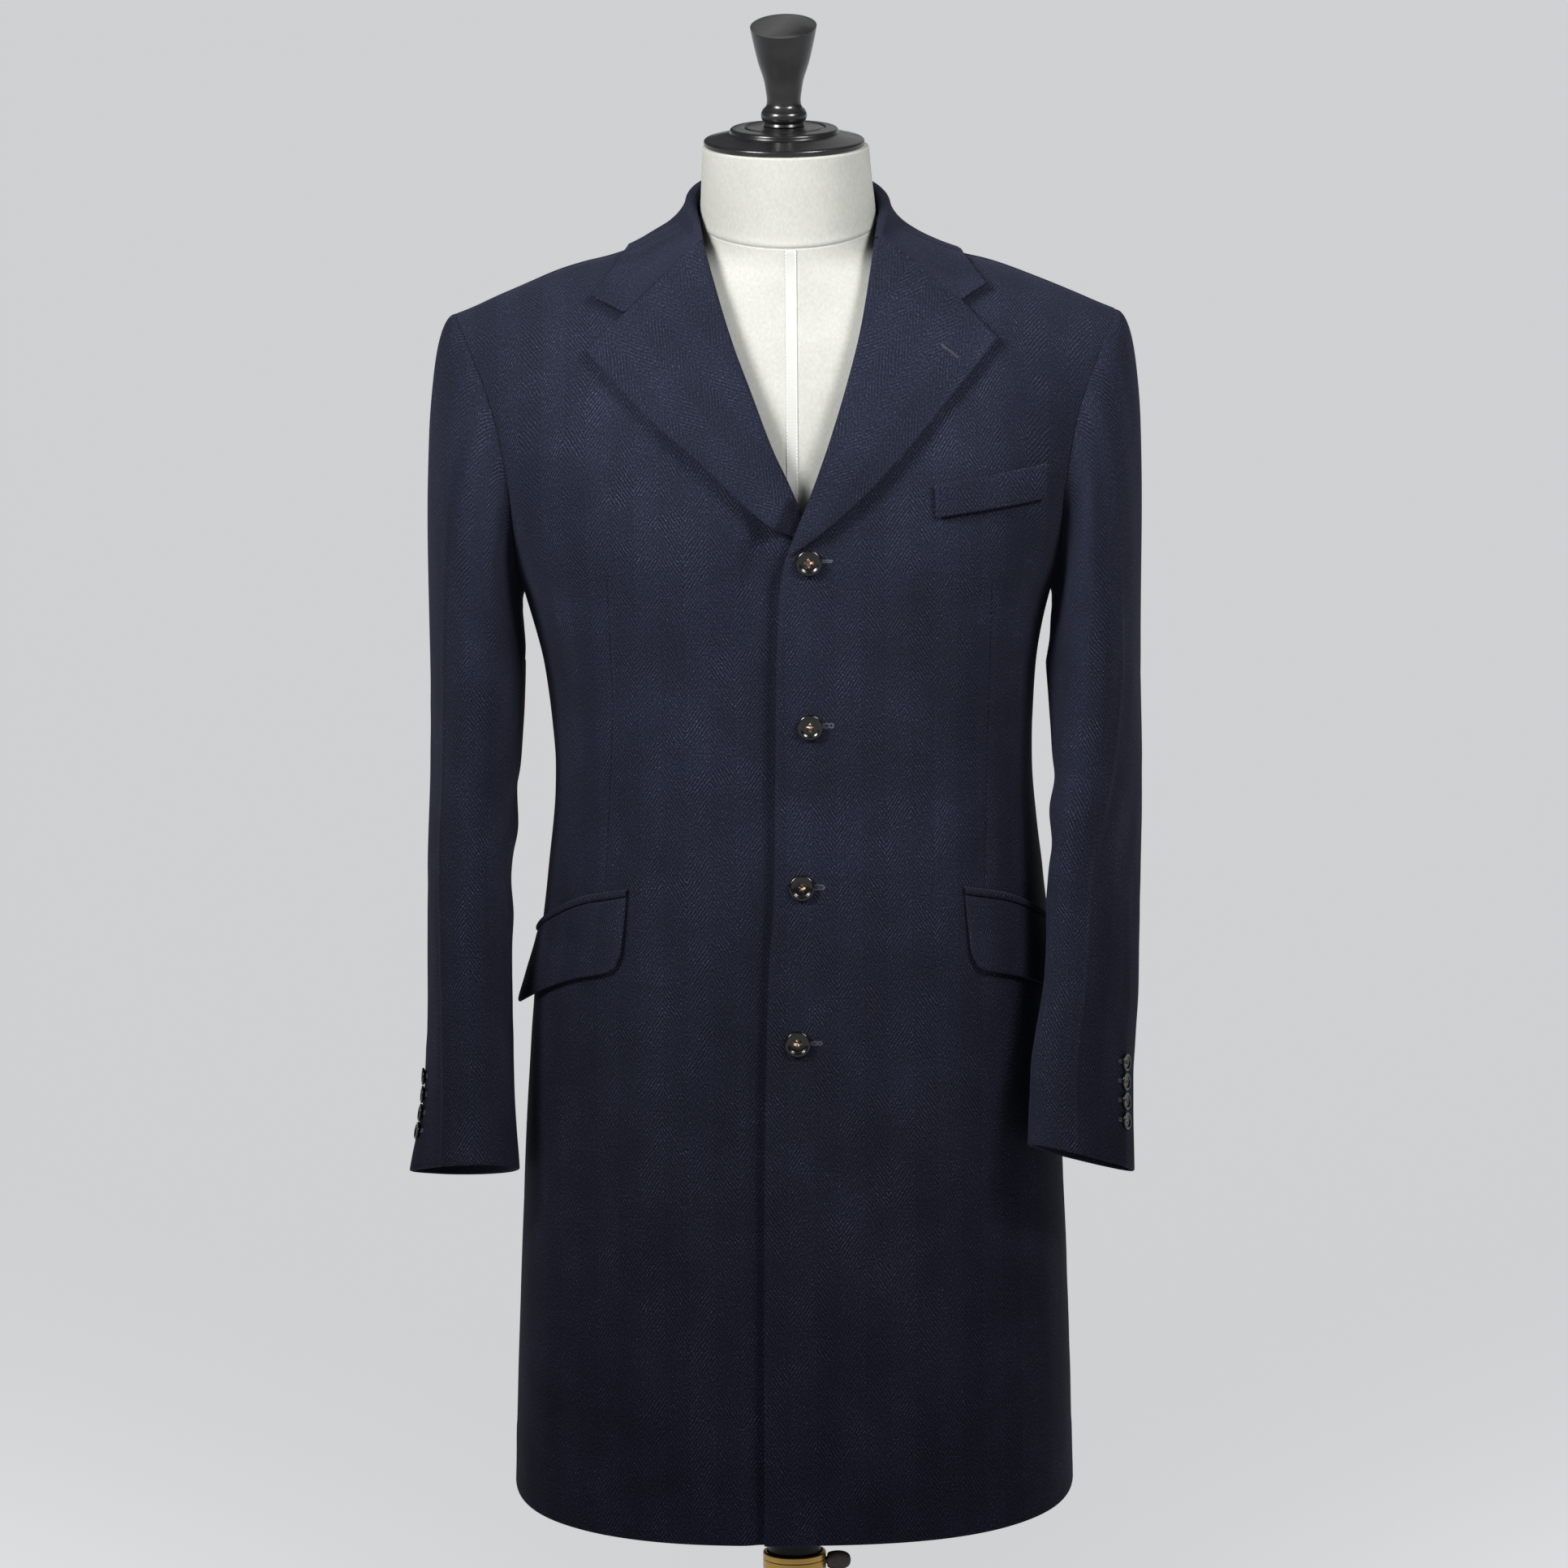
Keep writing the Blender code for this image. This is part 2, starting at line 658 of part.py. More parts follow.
def armhole_loop(side, around):
    """Points of the sleeve seam: 0 at the shoulder, 90 in front, 180 at the armpit, 270 behind."""
    levels = np.linspace(ARMPIT, RIDGE, 240)
    loops = []
    for column, centre, way in (("front", 0, 1), ("back", 180, -1)):
        turns = centre + way * read(ARMHOLE, column, levels)
        points = body_point(levels[::-1], turns[::-1])
        length = np.concatenate([[0], np.cumsum(np.linalg.norm(np.diff(points, axis=0), axis=1))])
        loops.append((length / length[-1], points))
    found = []
    for angle in np.atleast_1d(around) % 360:
        share, points = loops[0] if angle <= 180 else loops[1]
        part = angle / 180 if angle <= 180 else (360 - angle) / 180
        found.append([np.interp(part, share, points[:, k]) for k in range(3)])
    return np.array(found) * (side, 1, 1)


def sleeve_ring(rows, side, height, around):
    """A section of the sleeve's outer side, below the armhole."""
    angle = np.radians(around)
    turn = math.radians(read(rows, "turn", height))
    corner = np.maximum(np.cos(angle - math.radians(HIND_SEAM)), 0) ** 8
    out = read(rows, "thin", height) * np.cos(angle) + read(rows, "flare", height) * corner
    fore = read(rows, "deep", height) * np.sin(angle)
    x = out * math.cos(turn) - fore * math.sin(turn)
    y = -out * math.sin(turn) - fore * math.cos(turn)
    z = -read(rows, "fore", height) * y - read(rows, "aside", height) * x
    centre = np.array([read(rows, "x", height), read(rows, "y", height), height])
    return (np.stack([x, y, z], axis=-1) + centre) * (side, 1, 1)


def sleeve_row(rows, side, share, around):
    """A row of the sleeve: share 0 at the armhole, 1 at the cuff."""
    heights = rows["height"]
    head = 0.30
    if share >= head:
        down = (share - head) / (1 - head)
        return sleeve_ring(rows, side, heights[-1] + (heights[0] - heights[-1]) * down, around)
    t = share / head
    start = armhole_loop(side, around)
    end = sleeve_ring(rows, side, heights[-1], around)
    angle = np.radians(around)
    reach = np.linalg.norm(end - start, axis=1, keepdims=True)
    leave = np.stack(
        [side * (0.85 + 0.15 * np.cos(angle)), -0.42 * np.sin(angle), -0.5 + 0.5 * np.cos(angle)],
        axis=-1,
    )
    leave = unit(leave) * (0.010 + 0.26 * reach)
    arrive = np.array([0, 0, -1.0]) * reach * 1.05
    start = start + unit(leave) * SEAM
    mixed = (1 + 2 * t) * (1 - t) ** 2 * start + t * (1 - t) ** 2 * leave
    return mixed + t**2 * (3 - 2 * t) * end + t**2 * (t - 1) * arrive


def sleeve_normals(rows, side, share, around):
    """Outward normals along a row of the sleeve."""
    step = 0.004
    across = sleeve_row(rows, side, share, around + 1) - sleeve_row(rows, side, share, around - 1)
    low, high = max(share - step, 0), min(share + step, 1)
    down = sleeve_row(rows, side, high, around) - sleeve_row(rows, side, low, around)
    return unit(np.cross(across, down)) * side


def sleeve_piece(name, rows, side, first, last, columns, material):
    """One of a sleeve's two pieces, between two angles round the sleeve."""
    around = np.linspace(first, last, columns)
    shares = np.concatenate([np.linspace(0, 1, 7) ** 1.4 * 0.30, np.linspace(0.30, 1, 10)[1:]])
    outer = np.array([sleeve_row(rows, side, share, around) for share in shares])
    outward = np.array([sleeve_normals(rows, side, share, around) for share in shares])
    return cloth(name, outer, outward, material)


def make_sleeves(material):
    gap = math.degrees(SEAM / 2 / 0.05)
    for word, side, rows in (("left", 1, LEFT_SLEEVE), ("right", -1, RIGHT_SLEEVE)):
        sleeve_piece(
            f"sleeve_top_{word}", rows, side, HIND_SEAM + gap, FORE_SEAM - gap, 11, material
        )
        sleeve_piece(
            f"sleeve_under_{word}", rows, side, FORE_SEAM + gap, HIND_SEAM + 360 - gap, 12, material
        )


# Lapels and collar


def front_point(x, z, lift):
    """A point over the fronts, at this x and height, before it is moved out by lift."""
    level = level_at(x, z)
    turn = turn_at(level, x)
    out = body_normal(level, turn)
    return body_point(level, turn) + out * np.expand_dims(lift, -1), out


def roll_lift(x, z, roll_x, roll_z):
    """How high cloth stands over the coat, at its distance from the roll line."""
    return CLOTH + read(ROLL, "lift", np.hypot(x - roll_x, z - roll_z))


def make_lapel(name, rows, top, material, tucks_under):
    """A lapel that lies on its front, from the roll line to its outer edge."""
    across = np.array(LAPEL_COLUMNS)
    outer, outward = [], []
    for share in np.concatenate([np.linspace(0, 0.09, 4), np.linspace(0.09, 1, 11)[1:]]):
        roll_x, roll_z, edge_x, edge_z = (read(rows, column, share) for column in list(rows)[1:])
        bend = ramp(share, 0.6, 1.0)
        straight_x = rows["roll_x"][-1] * (1 - across) + rows["edge_x"][-1] * across
        straight_z = rows["roll_z"][-1] * (1 - across) + rows["edge_z"][-1] * across
        x = roll_x + (edge_x - roll_x) * across + bend * (read_straight(top, "x", across) - straight_x)
        z = roll_z + (edge_z - roll_z) * across + bend * (read_straight(top, "z", across) - straight_z)
        lift = roll_lift(x, z, roll_x, roll_z)
        if tucks_under:
            lift = lift + under_left_front(z, x) * (-CLOTH - LAP - lift)
        points, out = front_point(x, z, lift)
        outer.append(points)
        outward.append(out)
    return cloth(name, np.array(outer), np.array(outward), material)


def make_lapels(material):
    make_lapel("lapel_left", LEFT_LAPEL, LEFT_LAPEL_TOP, material, False)
    make_lapel("lapel_right", RIGHT_LAPEL, RIGHT_LAPEL_TOP, material, True)


def shoulder_samples():
    """Points of the coat's upper surface and their normals, close together."""
    levels = ARCH + (RIDGE - ARCH) * np.sin(np.linspace(0.75, math.pi / 2 - 0.001, 110))
    turns = np.concatenate([np.linspace(-62, 62, 150), np.linspace(118, 242, 150)])
    level, turn = (grid.ravel() for grid in np.meshgrid(levels, turns))
    return body_point(level, turn), body_normal(level, turn)


def height_over(x, y, samples):
    """The coat's upper surface over a plan position."""
    points = samples[0]
    near = np.argsort(np.hypot(points[:, 0] - x, points[:, 1] - y))[:3]
    return points[near, 2].mean()


def lie_on(points, lift, samples):
    """Points, moved out where they are closer than lift to the coat's upper surface."""
    moved = []
    for point in points:
        nearest = np.argmin(np.sum((samples[0] - point) ** 2, axis=1))
        out = samples[1][nearest]
        depth = np.dot(point - samples[0][nearest], out)
        moved.append(point + out * max(lift - depth, 0))
    return np.array(moved)


def collar_row(rows, front, share, samples):
    """The collar's outer side at one place: up the stand, over the fold and down the fall."""
    around = math.radians(read(rows, "around", share))
    radial = np.array([math.sin(around), math.cos(around), 0])
    fold = radial * read(rows, "away", share)
    fold = fold + (NECK_CENTRE, 0, read(rows, "fold_z", share))
    edge = np.array([read(rows, "edge_x", share), read(rows, "edge_y", share), 0])
    edge[2] = height_over(edge[0], edge[1], samples) + CLOTH + LAP
    aside = unit(np.array([edge[0] - fold[0], edge[1] - fold[1], 0]))
    up = np.array([0, 0, 1.0])
    stand = [
        fold - radial * FOLD_RADIUS - up * (FOLD_RADIUS + read(rows, "stand", share) * part)
        for part in (1, 0.5, 0)
    ]
    bend = [
        fold + FOLD_RADIUS * (way * 0.707 - up * 0.293) for way in (-radial, np.zeros(3), aside)
    ]
    bend[1] = fold
    start = fold + aside * FOLD_RADIUS - up * FOLD_RADIUS
    reach = np.linalg.norm(edge - start)
    leave = (aside * 0.25 - up) * reach
    far = start + (edge - start) * 1.1
    far[2] = height_over(far[0], far[1], samples) + CLOTH + LAP
    arrive = unit(far - edge) * reach
    t = np.array(FALL_COLUMNS)[:, None]
    fall = (1 + 2 * t) * (1 - t) ** 2 * start + t * (1 - t) ** 2 * leave
    fall = fall + t**2 * (3 - 2 * t) * edge + t**2 * (t - 1) * arrive
    across = np.array(FALL_COLUMNS)
    x, z = read_straight(front, "x", across), read_straight(front, "z", across)
    flat = front_point(x, z, roll_lift(x, z, front["x"][0], front["z"][0]))[0]
    fall = fall + (flat - fall) * ramp(share, 0.86, 1.0)
    fall = lie_on(fall, CLOTH + 2 * LAP, samples)
    return np.concatenate([stand, bend, fall])


def make_collar(material):
    samples = shoulder_samples()
    shares = np.concatenate([np.linspace(0, 0.86, 11), (0.91, 0.955, 1.0)])
    right = [collar_row(RIGHT_COLLAR, RIGHT_COLLAR_FRONT, share, samples) for share in shares[:0:-1]]
    left = [collar_row(LEFT_COLLAR, LEFT_COLLAR_FRONT, share, samples) for share in shares]
    outer = np.array(right + left)
    along, across = np.gradient(outer, axis=0), np.gradient(outer, axis=1)
    return cloth("collar", outer, unit(np.cross(along, across)), material)


# Pockets


def make_welt(material):
    across, up = np.linspace(0, 1, 5), np.linspace(0, 1, 3)
    outer, outward = [], []
    for part in up:
        x = read(WELT, "low_x", across) * (1 - part) + read(WELT, "top_x", across) * part
        z = read(WELT, "low_z", across) * (1 - part) + read(WELT, "top_z", across) * part
        points, out = front_point(x, z, np.full_like(x, 2 * CLOTH + 0.0004 * part))
        outer.append(points)
        outward.append(out)
    cloth("breast_welt", np.array(outer), np.array(outward), material)


def make_pocket(word, side, material):
    """A hip pocket's flap, which hangs from under a narrow strip of cloth."""
    shares = np.array((0, 0.06, 0.18, 0.34, 0.5, 0.66, 0.83, 1))
    turns = read(FLAP, "turn", shares) * side
    top, bottom = read(FLAP, "top", shares), read(FLAP, "bottom", shares)
    outer, outward = [], []
    for part in np.linspace(0, 1, 5):
        levels = bottom + (top - bottom) * part
        out = body_normal(levels, turns)
        away = read(FLAP, word, shares)
        lift = CLOTH + away[0] + (away - away[0]) * (1 - part) ** 1.3
        outer.append(body_point(levels, turns) + out * lift[:, None])
        outward.append(out)
    cloth(f"flap_{word}", np.array(outer), np.array(outward), material)
    outer, outward = [], []
    for part in (0, 1):
        levels = top + SEAM * 1.5 + JET * part
        out = body_normal(levels, turns)
        outer.append(body_point(levels, turns) + out * (CLOTH + 0.0012))
        outward.append(out)
    cloth(f"pocket_jet_{word}", np.array(outer), np.array(outward), material)


def make_pockets(material):
    make_pocket("left", 1, material)
    make_pocket("right", -1, material)
    make_welt(material)


# Buttons and turned pieces


def turned(name, rows, material, steps, closed=False):
    """A solid of revolution about its own Z, from a profile that runs down its outer side."""
    count = len(rows["radius"])
    edges = [(k, k + 1) for k in range(count - 1)]
    if closed:
        edges.append((count - 1, 0))
    mesh = bpy.data.meshes.new(name)
    mesh.from_pydata([(r, 0, z) for r, z in zip(*rows.values(), strict=True)], edges, [])
    obj = add_object(name, mesh, material)
    screw = obj.modifiers.new("turned", "SCREW")
    screw.steps = steps
    screw.render_steps = steps
    screw.use_merge_vertices = True
    screw.merge_threshold = 0.0001
    return obj


def add_cutter(name, shaped, matrix):
    """A helper object from a finished bmesh, which only a Boolean uses."""
    mesh = bpy.data.meshes.new(name)
    shaped.to_mesh(mesh)
    shaped.free()
    obj = bpy.data.objects.new(name, mesh)
    obj.matrix_world = matrix
    obj.hide_render = True
    obj.display_type = "WIRE"
    cutters.objects.link(obj)
    return obj


def combine(obj, other, operation):
    """Cuts one object with another, or joins it on."""
    boolean = obj.modifiers.new(other.name, "BOOLEAN")
    boolean.operation = operation
    boolean.solver = "EXACT"
    boolean.object = other


def standing_on(point, out):
    """The placing that puts an object's origin at a point and its own Z along out."""
    turn = Vector(out).to_track_quat("Z", "Y").to_matrix().to_4x4()
    return Matrix.Translation(Vector(point)) @ turn


def make_button(name, radius, placing, material, steps):
    """A button with its back on its own XY plane: a dished front within a raised rim."""
    rows = {
        "radius": BUTTON["radius"] * radius,
        "height": BUTTON["height"] * BUTTON_THICKNESS * radius,
    }
    button = turned(name, rows, material, steps)
    button.matrix_world = placing
    return button


def make_front_buttons(material):
    for number, (x, z) in enumerate(zip(*FRONT_BUTTONS.values(), strict=True), 1):
        point, out = front_point(x, z, BUTTON_LIFT)
        placing = standing_on(point, out)
        button = make_button(f"button_front_{number}", FRONT_BUTTON_RADIUS, placing, material, 20)
        holes = bmesh.new()
        for across, up in ((1, 0), (0, 1), (-1, 0), (0, -1)):
            made = bmesh.ops.create_cone(
                holes, cap_ends=True, segments=8, radius1=BUTTON_HOLE, radius2=BUTTON_HOLE,
                depth=4 * FRONT_BUTTON_RADIUS,
            )
            bmesh.ops.translate(holes, verts=made["verts"], vec=Vector((across, up, 0)) * HOLE_SPREAD)
        combine(button, add_cutter(f"{button.name}_holes", holes, placing), "DIFFERENCE")


def make_cuff_buttons(material):
    for word, side, rows in (("left", 1, LEFT_SLEEVE), ("right", -1, RIGHT_SLEEVE)):
        for number in range(len(CUFF_BUTTONS["place"])):
            height = rows["height"][0] + CUFF_BUTTONS[f"{word}_up"][number]
            around = CUFF_BUTTONS[f"{word}_round"][number]
            behind, here, ahead = sleeve_ring(rows, side, height, around + np.array((-1, 0, 1)))
            above = sleeve_ring(rows, side, height + 0.002, np.array((around,)))[0]
            out = unit(np.cross(ahead - behind, above - here))
            out = out * side * np.sign(out[0])
            placing = standing_on(here + out * LAP, out)
            make_button(
                f"button_cuff_{word}_{number + 1}", CUFF_BUTTON_RADIUS, placing, material, 12
            )


# Dress form and stand


def make_torso(material):
    sides = 28
    turn = np.linspace(0, 2 * math.pi, sides, endpoint=False)
    rings = []
    for height, side, front, back, middle in zip(*TORSO.values(), strict=True):
        power = 1 - 0.14 * (1 - float(ramp(height, 1.42, 1.49)))
        x = np.sign(np.sin(turn)) * np.abs(np.sin(turn)) ** power * side + middle
        y = np.abs(np.cos(turn)) ** power * np.where(np.cos(turn) > 0, -front, back)
        rings.append(np.stack([x, y, np.full(sides, height)], axis=-1))
    faces = [list(range(sides)), [(len(rings) - 1) * sides + step for step in range(sides)]]
    for ring in range(len(rings) - 1):
        for step in range(sides):
            after = (step + 1) % sides
            low, high = ring * sides, (ring + 1) * sides
            faces.append([low + step, low + after, high + after, high + step])
    add_mesh("form_torso", np.concatenate(rings), faces, material)


def make_finial(material):
    """The turned knob, whose top is cut off at a slant that falls to the front."""
    finial = turned("finial", FINIAL, material, 30)
    block = bmesh.new()
    bmesh.ops.create_cube(block, size=0.1)
    bmesh.ops.translate(block, verts=block.verts, vec=(0, 0, 0.05))
    placing = standing_on((0, 0, FINIAL_CUT), (-FINIAL_SLANT_X, -FINIAL_SLANT_Y, 1))
    combine(finial, add_cutter("finial_cut", block, placing), "DIFFERENCE")
    rim = finial.modifiers.new("rim", "BEVEL")
    rim.width = 0.0009
    rim.segments = 1
    rim.limit_method = "ANGLE"
    rim.angle_limit = math.radians(60)


def make_stand(canvas, black, brass, iron):
    make_torso(canvas)
    turned("neck_cap", NECK_CAP, black, 32)
    make_finial(black)
    turned("inner_pole", INNER_POLE, black, 28)
    turned("base", BASE, iron, 44)
    tube = turned("brass_tube", TUBE, brass, 32, closed=True)
    bore = bmesh.new()
    bmesh.ops.create_cone(
        bore, cap_ends=True, segments=20, radius1=CLAMP_BORE, radius2=CLAMP_BORE, depth=0.02
    )
    placing = standing_on((TUBE_RADIUS, 0, CLAMP_HEIGHT), (1, 0, 0))
    combine(tube, add_cutter("clamp_bore", bore, placing), "DIFFERENCE")


def make_clamp(material):
    """The clamp screw: a shank through the tube's wall and a rounded paddle to turn it by."""
    placing = standing_on((INNER_POLE_RADIUS + 0.0004, 0, CLAMP_HEIGHT), (1, 0, 0))
    screw = turned("clamp_screw", CLAMP, material, 20)
    screw.matrix_world = placing
    paddle = bmesh.new()
    bmesh.ops.create_uvsphere(paddle, u_segments=14, v_segments=8, radius=1)
    bmesh.ops.scale(paddle, verts=paddle.verts, vec=(0.0024, 0.0075, 0.0090))
    bmesh.ops.translate(paddle, verts=paddle.verts, vec=(0, 0, 0.0135))
    combine(screw, add_cutter("clamp_paddle", paddle, placing), "UNION")


def new_material(name, color, roughness, metallic=0.0):
    material = bpy.data.materials.new(name)
    material.use_nodes = True
    shader = material.node_tree.nodes["Principled BSDF"]
    shader.inputs["Base Color"].default_value = (*color, 1)
    shader.inputs["Roughness"].default_value = roughness
    shader.inputs["Metallic"].default_value = metallic
    return material


for old in list(bpy.data.objects):
    bpy.data.objects.remove(old)
parts = bpy.data.collections.new("wool_overcoat_on_dress_form")
cutters = bpy.data.collections.new("cutters")
bpy.context.scene.collection.children.link(parts)
bpy.context.scene.collection.children.link(cutters)

wool = new_material("herringbone wool", (0.016, 0.018, 0.035), 0.85)
horn = new_material("dark horn", (0.022, 0.017, 0.016), 0.25)
canvas = new_material("ivory canvas", (0.72, 0.73, 0.70), 0.75)
black = new_material("black lacquered wood", (0.016, 0.016, 0.018), 0.22)
brass = new_material("brass", (0.42, 0.29, 0.10), 0.32, 1.0)
iron = new_material("black cast iron", (0.020, 0.020, 0.022), 0.5)
steel = new_material("black enamelled steel", (0.020, 0.018, 0.017), 0.4)
make_fronts(wool)
make_backs(wool)
make_sleeves(wool)
make_lapels(wool)
make_collar(wool)
make_pockets(wool)
make_front_buttons(horn)
make_cuff_buttons(horn)
make_stand(canvas, black, brass, iron)
make_clamp(steel)
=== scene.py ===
from functools import partial
from math import cos, hypot, pi, radians, sin, tan

import bmesh
import bpy
import numpy as np
from mathutils import Matrix, Vector
from mathutils.kdtree import KDTree


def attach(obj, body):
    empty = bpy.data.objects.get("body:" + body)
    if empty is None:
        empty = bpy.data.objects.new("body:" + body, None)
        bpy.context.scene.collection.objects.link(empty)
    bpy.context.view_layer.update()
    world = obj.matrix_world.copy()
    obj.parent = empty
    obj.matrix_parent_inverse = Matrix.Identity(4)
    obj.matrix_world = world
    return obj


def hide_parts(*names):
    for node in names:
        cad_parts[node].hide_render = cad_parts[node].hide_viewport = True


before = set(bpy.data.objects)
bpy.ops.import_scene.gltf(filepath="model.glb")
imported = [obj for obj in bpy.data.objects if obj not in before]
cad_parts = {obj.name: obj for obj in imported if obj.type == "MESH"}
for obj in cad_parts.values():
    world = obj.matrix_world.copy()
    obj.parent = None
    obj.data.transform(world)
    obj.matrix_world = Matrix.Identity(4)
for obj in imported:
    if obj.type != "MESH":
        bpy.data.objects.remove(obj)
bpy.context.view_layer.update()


# small helpers

def numbers(text):  # rows of numbers, parted by commas or line ends
    return np.array([row.split() for row in text.replace("\n", ",").split(",")], float)


def table(text):  # columns of numbers, named in the first line
    names, _, rows = text.partition("\n")
    return dict(zip(names.split(), numbers(rows).T))


def smoothAt(xs, ys, at):  # smooth curve through points, no overshoot
    gap = np.diff(xs)
    rise = np.diff(ys) / gap
    slope = np.concatenate([rise[:1], np.zeros(len(rise) - 1), rise[-1:]])
    product = rise[:-1] * rise[1:]
    turning = product > 0
    slope[1:-1][turning] = 2 * product[turning] / (rise[:-1] + rise[1:])[turning]
    at = np.clip(at, xs[0], xs[-1])
    i = np.clip(np.searchsorted(xs, at) - 1, 0, len(gap) - 1)
    t = (at - xs[i]) / gap[i]
    start = (1 + 2 * t) * (1 - t) ** 2 * ys[i] + t * (1 - t) ** 2 * gap[i] * slope[i]
    return start + t**2 * (3 - 2 * t) * ys[i + 1] + t**2 * (t - 1) * gap[i] * slope[i + 1]


def read(rows, column, at):  # a column of a table, at a value of its first column
    return smoothAt(next(iter(rows.values())), rows[column], at)


def readStraight(rows, column, at):
    return np.interp(at, next(iter(rows.values())), rows[column])


def swept(start, leave, end, arrive, t):  # a curve by its ends and its directions there
    return ((1 + 2 * t) * (1 - t) ** 2 * start + t * (1 - t) ** 2 * leave
            + t**2 * (3 - 2 * t) * end + t**2 * (t - 1) * arrive)


def ramp(value, low, high):  # soft step from 0 to 1
    t = np.clip((value - low) / (high - low), 0, 1)
    return t * t * (3 - 2 * t)


def bell(off, wide):  # 1 in the middle, fading to both sides
    return np.exp(-((off / wide) ** 2))


def hump(share):  # 0 at both ends, 1 in the middle
    return np.sin(pi * np.clip(share, 0, 1))


def signedPower(value, power):
    return np.sign(value) * np.abs(value) ** power


def unit(vectors):
    return vectors / np.maximum(np.linalg.norm(vectors, axis=-1, keepdims=True), 1e-12)


def along(grid, axis):  # distance along a grid's rows or columns, from the first
    steps = np.linalg.norm(np.diff(grid, axis=axis), axis=2)
    zero = np.zeros_like(np.take(steps, [0], axis=axis))
    return np.concatenate([zero, np.cumsum(steps, axis=axis)], axis=axis)


# sizes of the coat's outer surface, in metres: level is a height that slopes down along the
# shoulders, turn is degrees from the centre front towards the wearer's left

cloth = {
    "thick": 0.0024,
    "lap": 0.0012,  # between two layers that lie on each other
    "hem": 0.53,
    "ventTop": 0.86,
    "ventLap": 0.036,
    "armpit": 1.222,
    "arch": 1.26,  # the chest and back start to round over here
    "ridge": 1.515,
    "hemDip": 0.011,
    "waist": 1.087,  # the weave is laid out from here
    "free": 0.010,  # columns near an edge keep their distance from it
    "close": 0.006,  # and so do columns near a dart
    "swell": (0.0004, 0.11),  # height and size of the unevenness
    "edgeSwell": (0.0023, 0.013),  # height and width along the buttoned edge
    "edgeTrough": (0.003, 0.0075),  # depth and width beside it, on the front below
    "edgeEnds": (1.245, 1.275),  # both fade out where the lapel starts to turn
}
bodyRows = table("""level width front back square shift
.53 .2135 .182 .17 2.6 .0005
.64 .2105 .172 .163 2.55 .0008
.78 .2053 .158 .153 2.45 .0018
.9 .1995 .15 .145 2.4 .0035
1 .1885 .143 .136 2.35 .0045
1.087 .181 .134 .124 2.3 .004
1.16 .186 .137 .126 2.3 .002
1.222 .199 .14 .129 2.35 0
1.26 .2125 .14 .13 2.5 0
1.34 .2288 .138 .131 2.8 0
1.4 .238 .137 .13 3 0
1.45 .2512 .136 .129 3 0
1.49 .261 .135 .128 3 0
1.515 .265 .135 .128 3 0""")
shoulderRows = table("""across drop
0 0, .05 .001, .067 .0068, .09 .0185, .113 .0306, .134 .0378, .15 .0416, .166 .0464
.192 .0564, .216 .0664, .238 .0762, .249 .0806, .266 .087""")
armholeRows = table("""level front back
1.222 90 90, 1.232 81 81, 1.26 73 72, 1.34 62.2 61, 1.4 60.2 58.5, 1.45 59.2 58.5
1.49 61.2 60.8, 1.515 65.6 65.6""")
leftEdgeRows = table("""level x
.53 -.0228, .778 -.0208, .948 -.0164, 1.015 -.0116, 1.191 -.0085, 1.239 -.0062
1.26 -.004, 1.275 .0012, 1.288 .0056, 1.303 .0129, 1.33 .0235, 1.384 .0418, 1.42 .0526
1.465 .0623, 1.498 .068, 1.508 .0725, 1.515 .0768""")
rightEdgeRows = table("""level x
.53 .018, .78 .022, 1.02 .031, 1.16 .04, 1.215 .042, 1.262 .03, 1.303 .0102, 1.33 -.001
1.358 -.0139, 1.402 -.0306, 1.449 -.0479, 1.492 -.061, 1.508 -.067, 1.515 -.0718""")
backNeckRows = table("""level left right
.53 .00015 -.00015, 1.4795 .00015 -.00015, 1.4882 .0386 -.0336, 1.497 .0535 -.0485
1.504 .0636 -.0586, 1.51 .0712 -.0662, 1.515 .0768 -.0718""")


def shoulderDrop(level, x):
    return read(shoulderRows, "drop", np.abs(x)) * ramp(level, 1.2, cloth["ridge"])


def depths(level):
    up = np.clip((level - cloth["arch"]) / (cloth["ridge"] - cloth["arch"]), 0, 1)
    front = read(bodyRows, "front", level) * np.sqrt(np.maximum(1 - up**2.0, 0))
    back = read(bodyRows, "back", level) * np.sqrt(np.maximum(1 - up**2.6, 0))
    return front, back


def bodyPoint(level, turn):
    level, turn = np.broadcast_arrays(np.asarray(level, float), np.asarray(turn, float))
    power = 2 / read(bodyRows, "square", level)
    sine, cosine = np.sin(np.radians(turn)), np.cos(np.radians(turn))
    front, back = depths(level)
    across = read(bodyRows, "width", level) * signedPower(sine, power)
    y = np.where(cosine > 0, -front, back) * np.abs(cosine) ** power
    dip = cloth["hemDip"] * np.maximum(cosine, 0) * (1 - ramp(level, cloth["hem"], 0.95))
    x = across + read(bodyRows, "shift", level)
    return np.stack([x, y, level - shoulderDrop(level, across) - dip], axis=-1)


def turnAt(level, x, behind=False):
    share = (x - read(bodyRows, "shift", level)) / read(bodyRows, "width", level)
    sine = np.sign(share) * np.clip(np.abs(share), 0, 1) ** (read(bodyRows, "square", level) / 2)
    turn = np.degrees(np.arcsin(sine))
    return 180 - turn if behind else turn


def levelAt(x, z):  # level of the front's surface at this x and height
    level = np.asarray(z, float)
    for _ in range(12):
        turn = turnAt(level, x)
        dip = cloth["hemDip"] * np.cos(np.radians(turn)) * (1 - ramp(level, cloth["hem"], 0.95))
        drop = shoulderDrop(level, x - read(bodyRows, "shift", level))
        level = np.minimum(z + dip + drop, cloth["ridge"])
    return level


